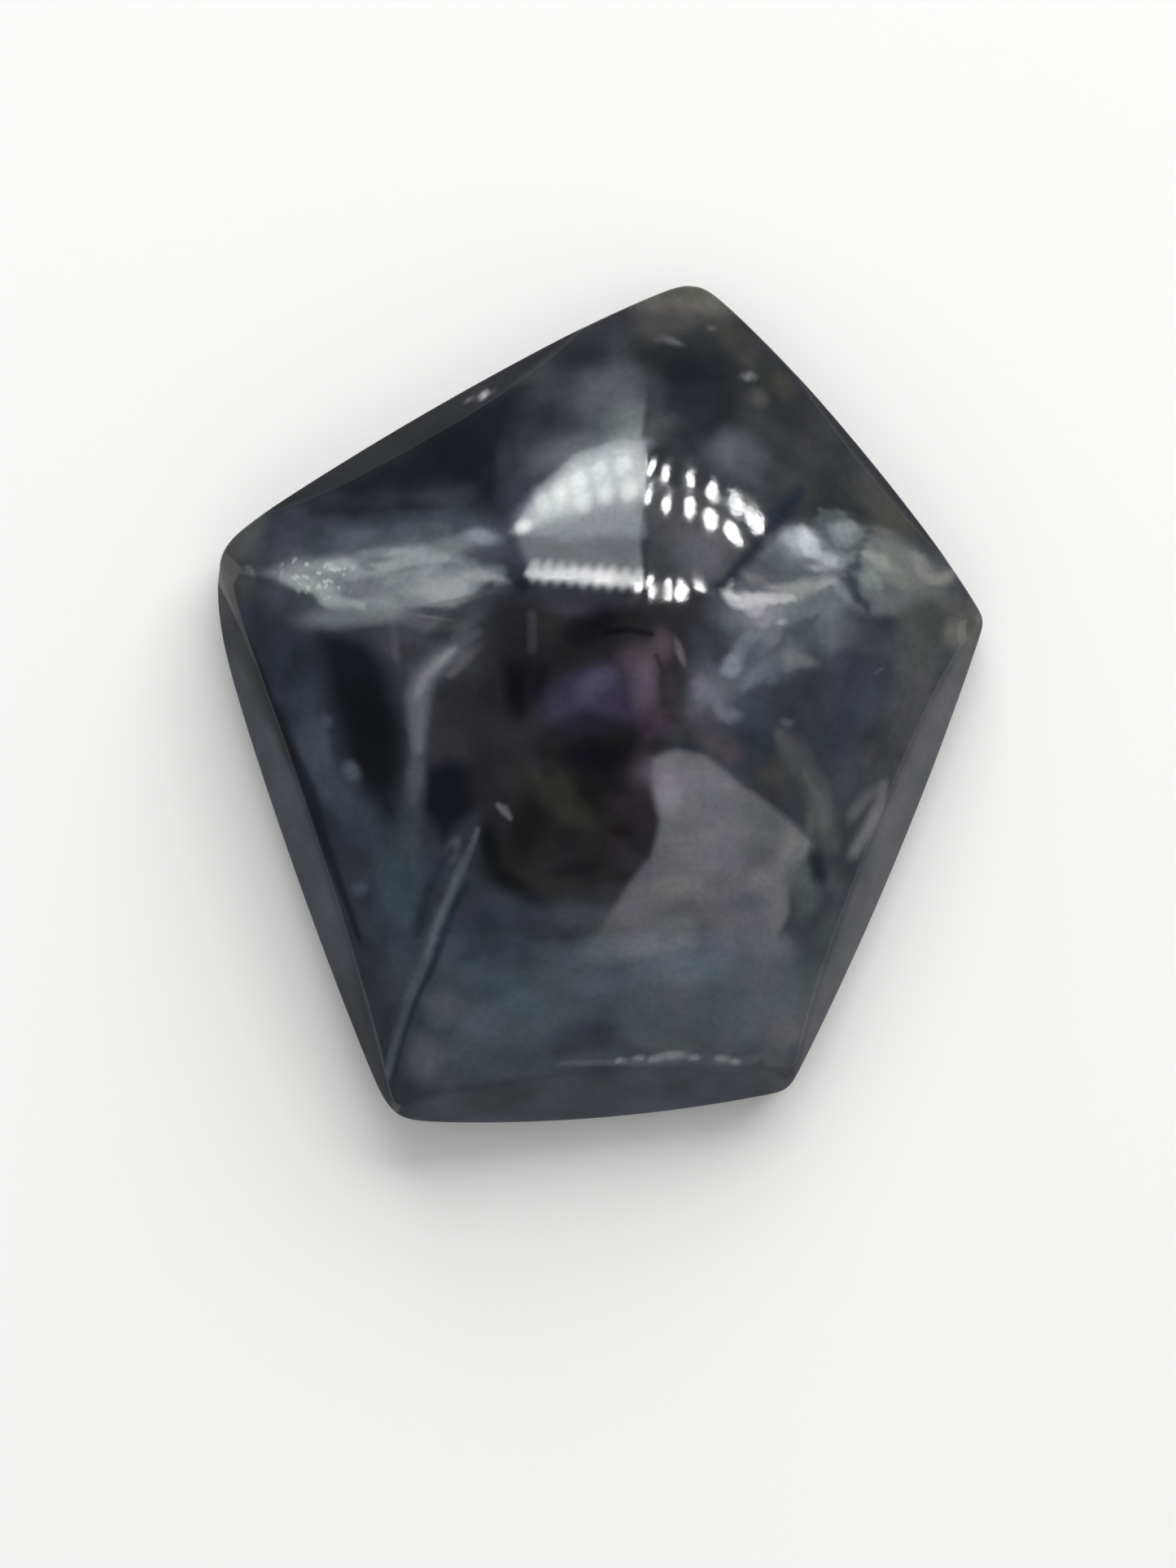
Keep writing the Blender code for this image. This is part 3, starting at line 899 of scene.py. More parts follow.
def paint_lower_facet(glass):
    """Teal and blue grey clouds down to the lower edge: partly the glass's own sheen, partly a painted
    reflection of the bright room towards -Y.
    """
    glass.spots(
        ((0.0, -10.5), (6.5, 2.6), (66, 80, 97)),
        ((4.5, -10.5), (3.0, 2.0), (82, 96, 110)),
        ((-3.0, -7.5), (1.6, 0.7), (25, 30, 44), -10),
        ((0.3, -7.6), (1.1, 0.5), (60, 62, 74)),
        ((1.0, -7.5), (0.6, 0.4), (92, 94, 107)),
        ((-4.4, -8.6), (0.8, 0.8), (43, 60, 77)),
        ((-3.1, -8.7), (0.9, 0.6), (38, 47, 66)),
        ((-1.3, -8.8), (0.9, 0.5), (74, 88, 110)),
        ((0.2, -8.6), (0.9, 0.5), (114, 128, 143)),
        ((2.1, -8.5), (1.2, 0.55), (154, 170, 190)),
        ((4.2, -8.5), (0.7, 0.5), (92, 106, 131)),
        ((5.3, -8.5), (0.7, 0.6), (100, 109, 129)),
        ((6.3, -8.6), (0.6, 0.5), (92, 102, 115)),
        ((2.9, -9.4), (1.5, 0.5), (108, 133, 157)),
        ((0.0, -9.7), (1.3, 0.4), (88, 104, 129)),
        ((-3.6, -9.8), (1.0, 0.5), (46, 65, 83)),
        ((5.5, -9.8), (0.9, 0.5), (85, 95, 109)),
        ((-5.6, -10.6), (0.6, 0.6), (92, 101, 121), 60),
        ((-4.4, -10.9), (0.7, 0.5), (75, 86, 107)),
        ((-3.0, -10.7), (0.8, 0.5), (57, 77, 96)),
        ((-0.6, -11.8), (1.4, 0.5), (40, 46, 64)),
        ((2.5, -11.8), (1.4, 0.4), (70, 82, 92)),
        ((0.0, -12.3), (1.7, 0.3), (38, 44, 58)),
        ((3.2, -12.3), (1.2, 0.25), (58, 65, 82)),
        ((6.3, -11.7), (0.8, 0.5), (104, 106, 116), 50),
        ((5.7, -12.9), (0.8, 0.35), (86, 87, 94), 20),
        ((-6.2, -12.4), (0.7, 0.8), (80, 89, 105), 20),
        ((-3.8, -13.0), (1.6, 0.4), (48, 57, 71), 5),
    )


def paint_lower_left_edge(glass):
    """The sharp edge that runs down to the lower left corner: a painted highlight along it, with a painted
    dark reflection beside it.
    """
    thread = [
        (-4.2, -4.4), (-4.6, -5.3), (-5.0, -6.2), (-5.55, -7.4), (-6.1, -8.8), (-6.75, -10.5),
        (-7.2, -11.9), (-7.6, -13.2),
    ]
    beside = [
        (-4.6, -6.3), (-5.1, -7.1), (-5.6, -8.2), (-6.1, -9.5), (-6.6, -10.7), (-7.0, -12.0), (-7.3, -13.0),
    ]
    # A painted highlight along the edge, with a painted dark reflection beside it.
    glass.tint(glass.spot((-5.15, -5.05), (0.24, 0.4), -25, place=glass.ragged), (74, 85, 94))
    glass.tint(glass.stroke([(-5.2, -5.2), (-5.9, -6.4), (-6.4, -8.0)], 0.4, edge=0.9), (14, 20, 28), 0.8)
    glass.tint(glass.stroke(beside, (0.2, 0.36, 0.42, 0.36, 0.26, 0.2, 0.15), edge=0.6), (13, 21, 29))
    glass.tint(glass.stroke(thread, (0.15, 0.26, 0.34, 0.38, 0.38, 0.36, 0.34, 0.2), edge=0.6), (62, 76, 92))
    glass.tint(glass.stroke(thread[2:5], 0.12, edge=0.9), (92, 108, 120))
    glass.tint(glass.stroke([(-5.3, -7.3), (-5.9, -8.8), (-6.5, -10.4)], 0.05, edge=0.9), (24, 32, 44), 0.8)
    glass.dull(glass.stroke(thread, 0.3), THREAD_FINISH)


def paint_right_cloud(glass):
    """The milky cloud between the reflections and the right corner, with a forked dark crack through it. A
    painted highlight of the lamps runs along the right hip at the cloud's lower edge.
    """
    glass.spots(
        ((7.6, 5.0), (2.4, 1.0), (110, 122, 134), 5),
        ((10.6, 4.6), (1.8, 0.9), (128, 134, 130), -20),
        ((6.2, 3.2), (1.9, 0.7), (124, 134, 148)),
        ((5.9, 1.9), (1.5, 0.9), (92, 102, 118), 20),
        ((4.4, 0.9), (1.6, 0.8), (76, 82, 100), 25),
        ((4.2, 1.9), (0.45, 0.6), (33, 35, 42)),
        ((3.6, 0.5), (0.7, 0.5), (88, 87, 106), 20),
        ((8.0, 2.4), (1.0, 0.5), (72, 79, 93)),
        ((10.0, 3.5), (1.2, 0.4), (106, 114, 117)),
        ((9.9, 5.9), (0.4, 0.25), (80, 82, 78), -20),
        ((11.2, 1.6), (0.9, 1.8), (52, 54, 54), -20),
        ((10.6, -0.8), (0.6, 1.6), (52, 54, 58), -20),
        ((11.5, 2.9), (1.0, 0.7), (46, 48, 47)),
        ((12.7, 2.7), (0.4, 0.6), (112, 112, 98), -10),
        ((12.5, 3.6), (0.4, 0.25), (72, 75, 70)),
        ((9.2, 0.7), (1.1, 1.1), (26, 30, 40)),
        ((9.7, 2.2), (1.2, 0.5), (40, 44, 50)),
        ((6.9, 0.0), (1.2, 0.7), (31, 33, 42)),
    )
    # Brighter cloud. The bright spots along the right hip are a painted highlight.
    glass.spots(
        ((6.85, 5.6), (0.6, 0.5), (262, 286, 314), 20),
        ((7.15, 5.75), (0.33, 0.42), (470, 495, 530)),
        ((7.35, 5.25), (0.35, 0.22), (370, 392, 418), -30),
        ((7.9, 4.9), (0.5, 0.22), (280, 298, 315), -20),
        ((8.5, 4.9), (0.2, 0.25), (150, 164, 175)),
        ((7.6, 4.55), (0.4, 0.14), (250, 256, 268)),
        ((8.6, 6.0), (0.6, 0.26), (178, 193, 203), -5),
        ((8.3, 6.5), (0.6, 0.25), (84, 92, 102), 10),
        ((8.5, 5.4), (0.6, 0.16), (92, 102, 108)),
        ((9.3, 5.5), (0.14, 0.4), (92, 100, 100), -25),
        ((9.9, 5.15), (0.5, 0.26), (222, 229, 222), -30),
        ((9.6, 4.4), (0.35, 0.5), (190, 206, 196)),
        ((10.4, 4.5), (0.5, 0.3), (138, 148, 142)),
        ((11.3, 4.95), (0.6, 0.24), (185, 190, 184), -35),
        ((11.9, 4.5), (0.45, 0.22), (172, 177, 165), -35),
        ((5.6, 4.75), (0.6, 0.25), (66, 72, 87), 15),
        ((5.2, 4.2), (0.5, 0.22), (112, 114, 124), -20),
        ((6.9, 3.85), (0.9, 0.3), (228, 234, 232), 8),
        ((7.9, 4.1), (0.5, 0.2), (238, 246, 250), 20),
        ((6.3, 3.8), (0.5, 0.25), (212, 217, 215)),
        ((7.9, 3.4), (0.5, 0.35), (92, 108, 124), 30),
        ((8.4, 3.8), (0.3, 0.25), (134, 150, 162)),
        ((5.2, 2.8), (0.5, 0.22), (118, 126, 140)),
        ((6.0, 2.85), (0.5, 0.2), (164, 166, 176)),
        ((6.48, 2.58), (0.2, 0.13), (250, 254, 268), 20),
        ((5.3, 2.25), (0.5, 0.3), (140, 152, 168), 30),
        ((6.2, 2.1), (0.4, 0.2), (106, 108, 122), 15),
        ((4.6, 1.25), (0.32, 0.28), (168, 192, 220), 25),
        ((5.0, 1.8), (0.5, 0.26), (122, 140, 156), 50),
        ((5.5, 0.75), (0.7, 0.28), (104, 122, 146), 20),
        ((6.95, 1.45), (0.42, 0.36), (134, 134, 148)),
        ((4.2, -0.2), (0.5, 0.25), (112, 118, 148), -25),
        ((3.75, 0.3), (0.55, 0.4), (112, 110, 142), -30),
        ((9.75, 1.12), (0.22, 0.07), (56, 64, 80)),
        ((6.3, -0.9), (0.22, 0.14), (82, 83, 96)),
        strength=0.95, edge=0.75, place=glass.ragged,
    )
    # The tongue is the same painted highlight along the right hip.
    tongue = [(4.3, 3.9), (4.7, 3.5), (5.2, 3.3), (5.9, 3.3), (6.6, 3.5)]
    glass.strokes(
        (tongue, (0.35, 0.55, 0.5, 0.4, 0.2), (345, 348, 360)),
        ([(4.4, 4.0), (4.55, 3.65), (4.9, 3.5)], (0.15, 0.3, 0.2), (440, 444, 458)),
        ([(9.6, 6.0), (9.4, 5.6), (9.1, 4.8), (8.75, 4.4)], (0.1, 0.22, 0.24, 0.24), (50, 60, 66)),
        ([(8.75, 4.4), (8.9, 4.0), (9.15, 3.5), (9.4, 3.0)], (0.34, 0.34, 0.34, 0.2), (40, 47, 56)),
        ([(7.8, 6.8), (7.75, 5.9), (8.0, 5.4)], (0.15, 0.24, 0.2), (66, 82, 90)),
        ([(8.1, 5.45), (8.7, 5.4), (9.3, 5.6)], (0.1, 0.16, 0.1), (64, 74, 80)),
        ([(8.75, 4.4), (8.3, 4.5)], (0.16, 0.1), (90, 100, 112)),
        ([(5.7, 1.4), (6.3, 1.8), (7.0, 2.5), (7.4, 2.9)], (0.2, 0.25, 0.25, 0.15), (68, 73, 86)),
        place=glass.ragged,
    )
    crack = [(4.1, 4.1), (4.6, 4.8), (5.3, 5.5), (6.2, 6.5), (6.9, 7.3)]
    glass.tint(glass.stroke(crack, (0.7, 0.75, 0.8, 0.6, 0.5), edge=0.8), (12, 15, 23))


def paint_right_facet(glass):
    """The darker glass below the cloud, with streaks that lean with the lower right edge."""
    glass.spots(
        ((8.9, -1.0), (1.2, 1.6), (32, 36, 46)),
        ((10.4, -0.4), (0.8, 0.9), (46, 47, 50)),
        ((5.2, -2.0), (1.3, 0.4), (24, 28, 37), -40),
        ((6.4, -3.1), (0.8, 0.3), (34, 35, 40), -45),
        ((3.3, -1.1), (1.0, 0.35), (50, 46, 57), -5),
        ((4.6, -1.3), (0.9, 0.4), (34, 37, 48), -30),
        ((5.2, -0.4), (0.8, 0.5), (42, 50, 68)),
        ((4.2, -1.5), (0.7, 0.4), (52, 47, 52), -20),
        ((3.4, -0.3), (0.7, 0.4), (66, 60, 75), 10),
        ((5.6, -1.5), (0.6, 0.35), (28, 33, 46), -40),
        ((6.1, -2.4), (0.5, 0.6), (44, 43, 43)),
        ((6.0, -3.3), (0.6, 0.25), (28, 28, 29), -40),
        ((8.4, 0.2), (0.6, 1.0), (22, 27, 40)),
        ((7.9, -1.3), (0.5, 0.9), (27, 32, 45)),
        ((6.8, -2.0), (0.45, 0.9), (62, 63, 72), 25),
        ((7.5, -3.3), (0.35, 0.8), (56, 62, 64), 20),
        ((7.7, -4.2), (0.3, 0.4), (86, 96, 92)),
        ((8.4, -3.6), (0.5, 0.8), (32, 38, 45)),
        ((9.7, -1.9), (0.4, 0.7), (54, 55, 58), -10),
        ((8.3, -4.9), (0.5, 0.4), (46, 52, 54)),
        ((9.0, -6.8), (0.4, 0.8), (26, 30, 34), -20),
        ((8.3, -6.3), (0.4, 0.5), (52, 53, 61)),
        ((7.1, -6.6), (0.5, 0.9), (67, 80, 84), -10),
        ((7.9, -8.1), (0.4, 0.8), (54, 64, 66), -20),
        ((7.5, -10.0), (0.4, 0.9), (56, 66, 66), -15),
        ((7.2, -11.3), (0.4, 0.6), (76, 78, 84)),
        strength=0.95,
    )
    pale_line = [(6.2, -1.1), (6.75, -2.0), (7.4, -3.0), (7.8, -4.1), (8.1, -5.0)]
    glass.strokes(
        (pale_line, (0.4, 0.7, 0.8, 0.8, 0.5), (64, 68, 72)),
        ([(7.0, -2.4), (7.5, -3.2), (7.85, -4.3)], (0.1, 0.3, 0.4), (80, 89, 86)),
        ([(9.95, -2.8), (9.4, -3.3), (8.8, -4.0)], (0.3, 0.5, 0.4), (86, 88, 92)),
        ([(9.55, -3.6), (9.1, -4.25), (8.6, -5.0)], (0.2, 0.4, 0.3), (34, 36, 38)),
        ([(9.95, -2.8), (9.85, -3.65), (9.4, -4.5), (8.9, -5.3)], (0.3, 0.45, 0.5, 0.4), (122, 124, 131)),
        ([(11.0, -0.3), (10.75, -1.0), (10.4, -1.8)], (0.25, 0.4, 0.25), (28, 29, 32)),
        ([(10.4, -2.0), (10.3, -2.8), (10.15, -3.6)], (0.2, 0.3, 0.2), (46, 48, 52)),
        ([(7.35, -5.1), (7.5, -5.4)], 0.24, (48, 56, 54)),
        ([(7.5, -5.4), (7.65, -6.05)], (0.45, 0.6), (7, 10, 14)),
        edge=0.9,
    )


# Where the painted, blurred lamp reflections fade out towards the right.
HAZE_END = (1.62, 1.42)  # where in X the haze starts and is whole, on the way to the left

# The lower row of painted, blurred lamp reflections.
LOWER_DOTS = 9
FIRST_DOT = np.array([-2.3, 4.46])
DOT_STEP = np.array([0.44, -0.04])


def paint_between_lamps(glass):
    """The hazy ground under the two rows of reflections, cut off at its right where the polish is good:
    painted reflections of the lamps and of the room between them, a bright blurred fan and blurred dots, and
    right of it a painted grey reflection in the clear glass.
    """
    fan = [(-3.0, 5.9), (-1.2, 5.5), (1.4, 5.6), (1.55, 9.0), (0.6, 9.0), (-0.9, 8.4), (-2.2, 7.3)]
    greyer = [(-3.0, 5.9), (-2.4, 4.2), (1.3, 4.0), (1.5, 6.3), (-1.0, 6.0)]
    # Painted reflections: a grey ground under the rows, and the upper rows' bright blurred fan.
    glass.fill(greyer, (78, 84, 96), edge=0.25, place=glass.clean)
    glass.fill(fan, (140, 155, 172), edge=0.4, place=glass.streaky)
    bright = glass.stroke([(-2.6, 6.1), (-1.6, 6.9), (-0.3, 7.7), (0.9, 8.1)], (0.5, 1.1, 1.6, 1.8), edge=0.8)
    left_of_line = smooth_step(glass.clean[:, 0], *HAZE_END)
    glass.tint(bright * left_of_line, (300, 320, 332))
    # Painted blurred dots of the upper rows.
    upper_dots = [
        (0.75, 8.2), (-0.05, 8.0), (-0.75, 7.65), (-1.4, 7.25), (-2.0, 6.8), (0.9, 7.3), (0.1, 7.2),
        (-0.65, 6.9),
    ]
    for at in upper_dots:
        glass.tint(glass.spot(at, (0.24, 0.36), -12) * left_of_line, (470, 485, 492), 0.8)
    # The painted blurred end, dots and bright lowest edge of the lower rows.
    glass.tint(glass.spot((-2.75, 5.98), (0.3, 0.2), 30), (520, 530, 535))
    for i in range(LOWER_DOTS):
        dot = glass.spot(FIRST_DOT + DOT_STEP * i, (0.22, 0.36), -15, edge=0.7, place=glass.clean)
        glass.tint(dot * left_of_line, (320, 328, 335))
    lowest = [(-2.5, 4.35), (-0.8, 4.3), (1.35, 4.05)]
    glass.tint(glass.stroke(lowest, (0.24, 0.4, 0.34), edge=0.9), (480, 490, 495), 0.9)
    # A painted grey reflection in the clear glass right of the line.
    clear = [(1.5, 7.5), (1.35, 4.1), (4.3, 4.1), (5.2, 5.3), (4.0, 7.5)]
    glass.fill(clear, (48, 49, 53), edge=0.2)
    glass.tint(glass.spot((3.3, 5.0), (0.9, 0.8)), (78, 79, 90))
    glass.tint(glass.spot((-2.8, 4.05), (0.3, 0.25)), (10, 10, 14))
    hazy = [(-3.0, 5.9), (-2.3, 4.3), (1.35, 4.05), (1.6, 9.1), (0.6, 9.1), (-1.0, 8.5), (-2.3, 7.3)]
    glass.dull(glass.patch(hazy, edge=0.15, place=glass.clean), HAZY_FINISH)


MOTTLING_SIZE = 1.4
MOTTLING = 0.35
MOTTLING_IN_DARK = 0.4  # what is added to it in dark glass
MOTTLING_OF_TONE = 0.06
MOTTLING_LIMITS = (0.3, 1.8)
DARK_GLASS = (0.1, 0.04)  # green at which glass starts to count as dark, and at which it wholly does


def paint_mottling(glass):
    """Small clouds of a slightly lighter, darker, warmer or colder tone everywhere."""
    broad = clouds(glass.points, MOTTLING_SIZE, octaves=3)
    strength = MOTTLING + MOTTLING_IN_DARK * smooth_step(glass.colour[:, 1:2], *DARK_GLASS)
    glass.colour *= np.clip(1 + strength * broad[:, :1] + MOTTLING_OF_TONE * broad, *MOTTLING_LIMITS)


def paint_bands(glass):
    """The bands and the wall are duller than the rest: black on the upper sides, grey on the lower ones.

    A dark line runs along the lower left crease, the corners are pale, and the upper left edge is chipped.
    """
    glass.tint(glass.on_band, INK)
    wall = glass.on_band * smooth_step(glass.height, *WALL_HEIGHTS)
    glass.tint(wall * glass.smoky, (24, 27, 33))
    glass.spots(
        ((-10.6, -5.4), (9.6, 3.0), (34, 43, 62), -72),
        ((0.0, -14.2), (8.0, 1.6), (44, 54, 70), 3),
        ((10.0, -5.6), (9.4, 3.0), (73, 75, 84), 68),
        within=glass.on_band, edge=0.3,
    )
    lower_end = glass.spot((-8.3, -11.6), (2.2, 1.1), -72, edge=0.9)
    glass.tint(glass.on_band * lower_end, (8, 11, 17))
    edge_line = [
        (-13.1, 3.0), (-12.85, 2.25), (-12.05, 0.7), (-11.4, -0.55), (-10.85, -1.85), (-10.2, -3.1),
        (-9.7, -4.75), (-9.1, -6.5), (-8.5, -8.3),
    ]
    widths = (0.5, 0.5, 0.6, 0.6, 0.55, 0.5, 0.4, 0.3, 0.2)
    glass.tint(glass.stroke(edge_line, widths, edge=0.9), (3, 4, 8), 0.85)
    glass.tint(glass.spot((-13.4, 2.7), (0.5, 1.0), 10), (8, 10, 14), 0.9)
    glass.dull(smooth_step(glass.on_band, 0, BAND_FINISH_WHOLE), BAND_FINISH)
    upper = smooth_step(glass.height, *CORNER_HEIGHTS)
    glass.spots(
        ((-13.3, 4.7), (0.9, 1.3), (50, 50, 49)),
        ((13.3, 2.9), (0.5, 0.9), (90, 90, 82), -15),
        strength=0.9, within=upper,
    )
    glass.tint(glass.spot((3.3, 14.8), (1.5, 0.6)) * upper, (66, 65, 57))
    chip, beside = CHIPS[0].place, CHIPS[1].place
    glass.spots(
        (chip, (0.5, 0.34), (6, 7, 9), 25),
        (chip, (0.2, 0.12), (260, 262, 256), 20),
        (beside, (0.12, 0.08), (120, 122, 120), 20),
        place=glass.clean,
    )
    glass.dull(glass.spot(chip, (0.3, 0.2), 20), CHIP_FINISH)


def paint_worn_crease(glass):
    """The crease over the lower band has lost its polish, and a few grains have broken out of it."""
    crease = [(-1.4, -12.7), (0.4, -12.65), (2.4, -12.6), (4.6, -12.65), (5.4, -12.55)]
    worn = glass.stroke(crease, (0.15, 0.25, 0.42, 0.4, 0.3), edge=0.95)
    glass.tint(worn, (100, 110, 127), patchy=0.4)
    glass.dull(worn, WORN_FINISH)
    grains = (
        ((2.5, -12.45), (0.5, 0.15)),
        ((0.7, -12.6), (0.14, 0.1)),
        ((1.35, -12.5), (0.18, 0.1)),
        ((1.9, -12.55), (0.2, 0.12)),
        ((3.3, -12.55), (0.2, 0.1)),
        ((4.3, -12.55), (0.24, 0.12)),
        ((4.75, -12.65), (0.2, 0.1)),
    )
    for at, size in grains:
        glass.tint(glass.spot(at, size, edge=0.7, place=glass.clean), (260, 275, 295), 0.85)


def paint_back(glass):
    """Under the stone the glass is one plain smoky grey, with clouds of its own."""
    under = smooth_step(glass.height, *BACK_HEIGHTS)
    glass.tint(under, (30, 34, 41))
    glass.tint(under * glass.smoky, (52, 58, 67))
    glass.dull(under, BACK_FINISH)


# In the order in which they are laid on.
PAINTERS = (
    paint_upper_facets,
    paint_top_column,
    paint_left_facet,
    paint_left_streak,
    paint_centre,
    paint_lower_facet,
    paint_grey_patch,
    paint_lower_left_edge,
    paint_right_facet,
    paint_right_cloud,
    paint_between_lamps,
    paint_bands,
    paint_mottling,
    paint_worn_crease,
    paint_back,
)


# The glass's own colour, with the painted reflections, highlights and glints laid into it.
COLOUR_LAYER = "glass_colour_and_painted_light"
ROUGHNESS_LAYER = "glass_roughness"


def paint(mesh, glass):
    """Stores the painted colour and roughness at the mesh's points, for the material to read."""
    for painter in PAINTERS:
        painter(glass)
    colours = np.column_stack([glass.colour, np.ones(len(glass.colour))])
    mesh.attributes.new(COLOUR_LAYER, "FLOAT_COLOR", "POINT").data.foreach_set("color", colours.ravel())
    mesh.attributes.new(ROUGHNESS_LAYER, "FLOAT", "POINT").data.foreach_set("value", glass.roughness)


# The material's own clouds and grain: their size in mm, and how far they swing the painted colour around.
CLOUD_SIZE, CLOUD_SWING = 2.6, 0.5
GRAIN_SIZE, GRAIN_SWING = 0.22, 0.4

# Scuffs: their size, where they start and are whole in the noise, and what they add to the roughness.
SCUFF_SIZE = 0.9
SCUFF_RANGE = (0.45, 0.75)
SCUFF_ROUGHNESS = 0.05

# Waves in the polish: long ones, short ones at a share of their height, and the height of all, in mm.
LONG_WAVE = 2.2
SHORT_WAVE = 0.5
SHORT_SHARE = 0.12
WAVE_HEIGHT = 0.012

GLASS_IOR = 1.49


def polished_obsidian():
    """The painted colour under fine clouds and grain, and a polish with faint scuffs and waves."""
    material = bpy.data.materials.new("polished_obsidian_looks")
    material.use_nodes = True
    shader = material.node_tree.nodes["Principled BSDF"]
    kit = Kit(material.node_tree)
    body = kit.vector("SCALE", kit.node("ShaderNodeTexCoord").outputs["Object"], 1 / MM)
    painted = kit.node("ShaderNodeAttribute", attribute_name=COLOUR_LAYER).outputs["Color"]
    polish = kit.node("ShaderNodeAttribute", attribute_name=ROUGHNESS_LAYER).outputs["Fac"]
    broad = kit.about_one(kit.noise(body, CLOUD_SIZE, detail=3), CLOUD_SWING)
    grain = kit.about_one(kit.noise(body, GRAIN_SIZE), GRAIN_SWING)
    kit.feed(shader.inputs["Base Color"], kit.vector("SCALE", painted, kit.math("MULTIPLY", broad, grain)))
    scuffs = kit.fade(kit.noise(body, SCUFF_SIZE, detail=5), *SCUFF_RANGE)
    kit.feed(shader.inputs["Roughness"], kit.math("MULTIPLY_ADD", scuffs, SCUFF_ROUGHNESS, polish))
    shader.inputs["IOR"].default_value = GLASS_IOR
    short = kit.noise(body, SHORT_WAVE)
    waves = kit.math("MULTIPLY_ADD", short, SHORT_SHARE, kit.noise(body, LONG_WAVE))
    bump = kit.node("ShaderNodeBump")
    kit.feed(bump.inputs["Height"], waves)
    bump.inputs["Distance"].default_value = WAVE_HEIGHT * MM
    kit.feed(shader.inputs["Normal"], bump.outputs["Normal"])
    return material


def add_stone():
    mesh = stone_mesh()
    mesh.materials.append(polished_obsidian())
    stone = bpy.data.objects.new("polished_stone", mesh)
    bpy.context.collection.objects.link(stone)
    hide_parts("stone")
    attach(stone, "root")
    return stone


PAPER_HALF = 1.5  # in metres, so that it fills every view
PAPER_COLOUR = (0.86, 0.86, 0.85, 1)
PAPER_ROUGHNESS = 0.9


def add_paper():
    mesh = bpy.data.meshes.new("paper")
    corners = [(PAPER_HALF * x, PAPER_HALF * y, 0) for x, y in ((-1, -1), (1, -1), (1, 1), (-1, 1))]
    mesh.from_pydata(corners, [], [(0, 1, 2, 3)])
    material = bpy.data.materials.new("white_paper")
    material.use_nodes = True
    shader = material.node_tree.nodes["Principled BSDF"]
    shader.inputs["Base Color"].default_value = PAPER_COLOUR
    shader.inputs["Roughness"].default_value = PAPER_ROUGHNESS
    mesh.materials.append(material)
    paper = bpy.data.objects.new("paper", mesh)
    bpy.context.collection.objects.link(paper)


# The photo's frame: the image centre over the stone, and how much of the girdle's plane it takes in, in mm.
CAMERA_PLACE = (-0.44, -2.86, 132.0)
GIRDLE_LEVEL = 1.7
FRAME_HEIGHT = 56.02
SENSOR = 36.0
NEAREST_SEEN = 0.01  # in metres
ORIGIN_PIXEL = (737.5, 865.0)  # where it shows the middle of the outline
MM_PER_PIXEL = 0.02907  # in the girdle's plane

LAMP_HEIGHT = 400.0  # in mm
LAMP_RADIANCE = 30.0  # in watts for each square metre and steradian
UPPER_ACROSS = 29  # width of a lamp in the upper rows, in mm
LOWER_ACROSS = 17

# The pixels at which the photo shows each lamp mirrored in the dome: two double rows. The last row is moved a
# little from where it was read off.
UPPER_FAR = (
    (706, 589), (736, 573), (764, 570), (797, 573), (817, 583), (849, 588), (877, 602), (905, 618), (927, 636)
)
UPPER_NEAR = (
    (682, 620), (709, 617), (739, 602), (772, 602), (797, 605), (820, 616), (848, 621), (874, 635), (901, 652)
)
LOWER_FAR = ((680, 700), (700, 700), (740, 702), (783, 709), (800, 715), (821, 719), (838, 721), (861, 721))
LOWER_NEAR = ((786.5, 720), (803.5, 726.5), (821.5, 728.5), (836, 730))

SIGHT_STEPS = 30  # to find where a line of sight meets the stone
SLOPE_STEP = 0.02  # in mm, over which the slope is measured


def seen_at(pixel):
    """Where the line of sight through that pixel of the photo meets the top of the stone, in mm."""
    eye = np.array(CAMERA_PLACE)
    level = np.subtract(pixel, ORIGIN_PIXEL) * (MM_PER_PIXEL, -MM_PER_PIXEL)
    plan = level
    for _ in range(SIGHT_STEPS):
        share = (eye[2] - top_height(plan)) / (eye[2] - GIRDLE_LEVEL)
        plan = eye[:2] + (level - eye[:2]) * share
    return np.array([*plan, top_height(plan)])


def top_normal(plan):
    steps = np.eye(2) * SLOPE_STEP
    slopes = [(top_height(plan + step) - top_height(plan - step)) / (2 * SLOPE_STEP) for step in steps]
    normal = np.array([-slopes[0], -slopes[1], 1])
    return normal / np.linalg.norm(normal)


def lamp_place(pixel):
    """Where a lamp has to hang for the dome to mirror it at that pixel, to the nearest mm."""
    spot = seen_at(pixel)
    normal = top_normal(spot[:2])
    back = CAMERA_PLACE - spot
    back /= np.linalg.norm(back)
    mirrored = 2 * normal * (normal @ back) - back
    place = spot + mirrored * (LAMP_HEIGHT - spot[2]) / mirrored[2]
    return Vector(place.round())


def add_light(name, shape, size, power, place):
    """An area light aimed at the stone, at a place in metres. The camera doesn't see it."""
    light = bpy.data.lights.new(name, "AREA")
    light.shape = shape
    light.size = size
    light.energy = power
    holder = bpy.data.objects.new(name, light)
    holder.location = place
    holder.rotation_euler = (-holder.location).to_track_quat("-Z", "Y").to_euler()
    holder.visible_camera = False
    bpy.context.collection.objects.link(holder)
    return holder


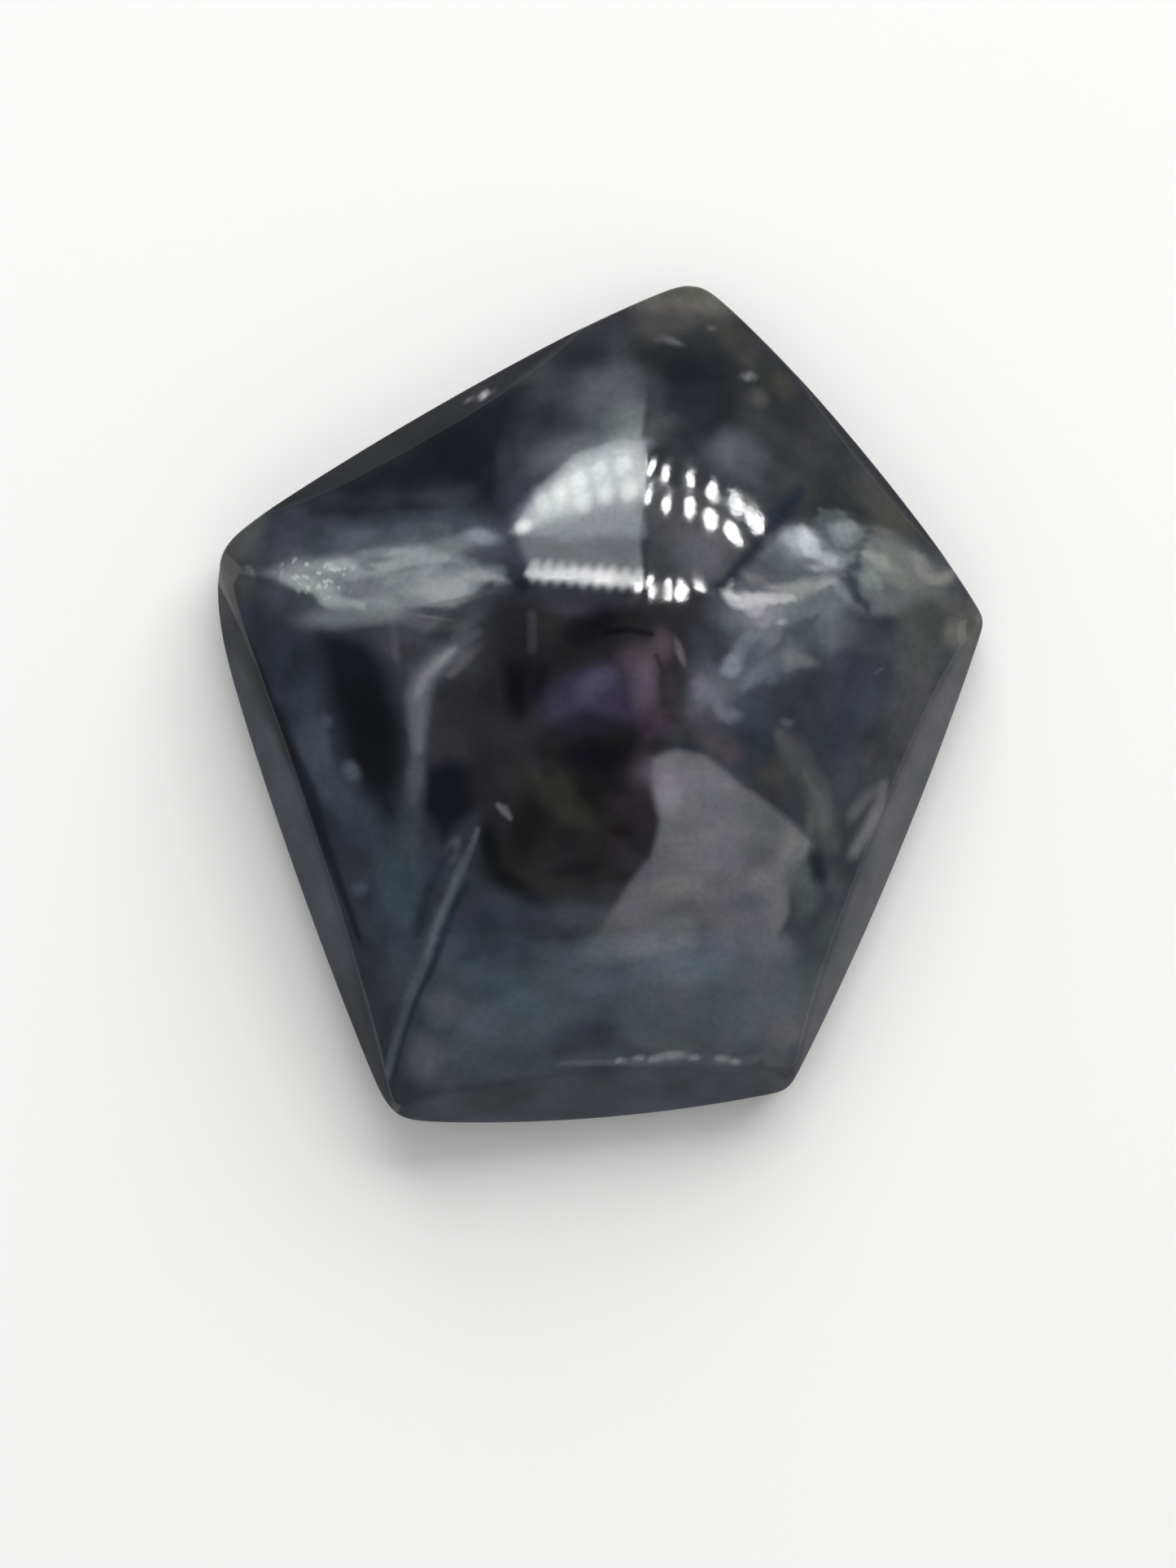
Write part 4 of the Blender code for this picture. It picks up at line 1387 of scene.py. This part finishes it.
def add_lamps():
    """Small bright disks that only the polish shows. The soft key light stands for what they throw."""
    rows = {
        "upper_far": (UPPER_FAR, UPPER_ACROSS),
        "upper_near": (UPPER_NEAR, UPPER_ACROSS),
        "lower_far": (LOWER_FAR, LOWER_ACROSS),
        "lower_near": (LOWER_NEAR, LOWER_ACROSS),
    }
    for row, (pixels, across) in rows.items():
        power = LAMP_RADIANCE * math.pi * math.pi * (across * MM / 2) ** 2
        for i, pixel in enumerate(pixels):
            lamp = add_light(f"{row}_{i}", "DISK", across * MM, power, lamp_place(pixel) * MM)
            lamp.visible_diffuse = False


# In metres and watts.
KEY_WIDTH = 0.85
KEY_DEPTH = 0.42
KEY_POWER = 5.4
KEY_PLACE = (0.15, 0.5, 0.3)


def add_key():
    """The soft light that the lamps throw on the paper and the stone."""
    key = add_light("key", "RECTANGLE", KEY_WIDTH, KEY_POWER, KEY_PLACE)
    key.data.size_y = KEY_DEPTH
    key.visible_glossy = False


AMBIENT = 0.56  # what lights the paper and the stone from all round
MIRRORED = (0.16, 0.175, 0.2)  # the room in the polish, dimmer than the lamps
MIRRORED_SOUTH = (0.28, 0.29, 0.31)  # the same room on the side towards -Y
MIRRORED_ABOVE = 0.3  # how much of it is left straight above
SOUTH = (0.3, -1, 0)
BACKDROP = 0.85  # what the camera sees past the paper

# The darkest place is an ellipse on a level ceiling: how often its half widths go into the ceiling's height,
# how far it is shifted, and where its rim starts and ends.
DARK_NARROWNESS = (3.3, 1.9, 0)
DARK_SHIFT = (0, 0.15, 0)
DARK_RIM = (0.75, 1.3)


def studio_world():
    """An even, pale surround. The polish mirrors a dimmer room, darkest straight above the stone."""
    world = bpy.data.worlds.new("studio")
    bpy.context.scene.world = world
    world.use_nodes = True
    kit = Kit(world.node_tree)
    background = world.node_tree.nodes["Background"]
    towards = kit.node("ShaderNodeTexCoord").outputs["Generated"]
    height = kit.vector("DOT_PRODUCT", towards, (0, 0, 1))
    flat = kit.vector("SCALE", towards, kit.math("DIVIDE", 1.0, height))
    overhead = kit.vector("LENGTH", kit.vector("MULTIPLY_ADD", flat, DARK_NARROWNESS, DARK_SHIFT))
    southward = kit.fade(kit.vector("DOT_PRODUCT", towards, SOUTH), 0, 1)
    room = kit.mix(southward, MIRRORED, MIRRORED_SOUTH)
    shade = kit.fade(overhead, *DARK_RIM)
    room = kit.vector("SCALE", room, kit.math("MULTIPLY_ADD", shade, 1 - MIRRORED_ABOVE, MIRRORED_ABOVE))
    path = kit.node("ShaderNodeLightPath").outputs
    pale = kit.mix(path["Is Camera Ray"], (AMBIENT,) * 3, (BACKDROP,) * 3)
    kit.feed(background.inputs["Color"], kit.mix(path["Is Glossy Ray"], pale, room))


def add_camera():
    camera = bpy.data.cameras.new("camera")
    camera.sensor_fit = "VERTICAL"
    camera.sensor_height = SENSOR
    camera.lens = SENSOR * (CAMERA_PLACE[2] - GIRDLE_LEVEL) / FRAME_HEIGHT
    camera.clip_start = NEAREST_SEEN
    holder = bpy.data.objects.new("camera", camera)
    holder.location = Vector(CAMERA_PLACE) * MM
    bpy.context.collection.objects.link(holder)
    bpy.context.scene.camera = holder


add_stone()
add_paper()
add_lamps()
add_key()
studio_world()
add_camera()
bpy.context.scene.view_settings.view_transform = "Standard"
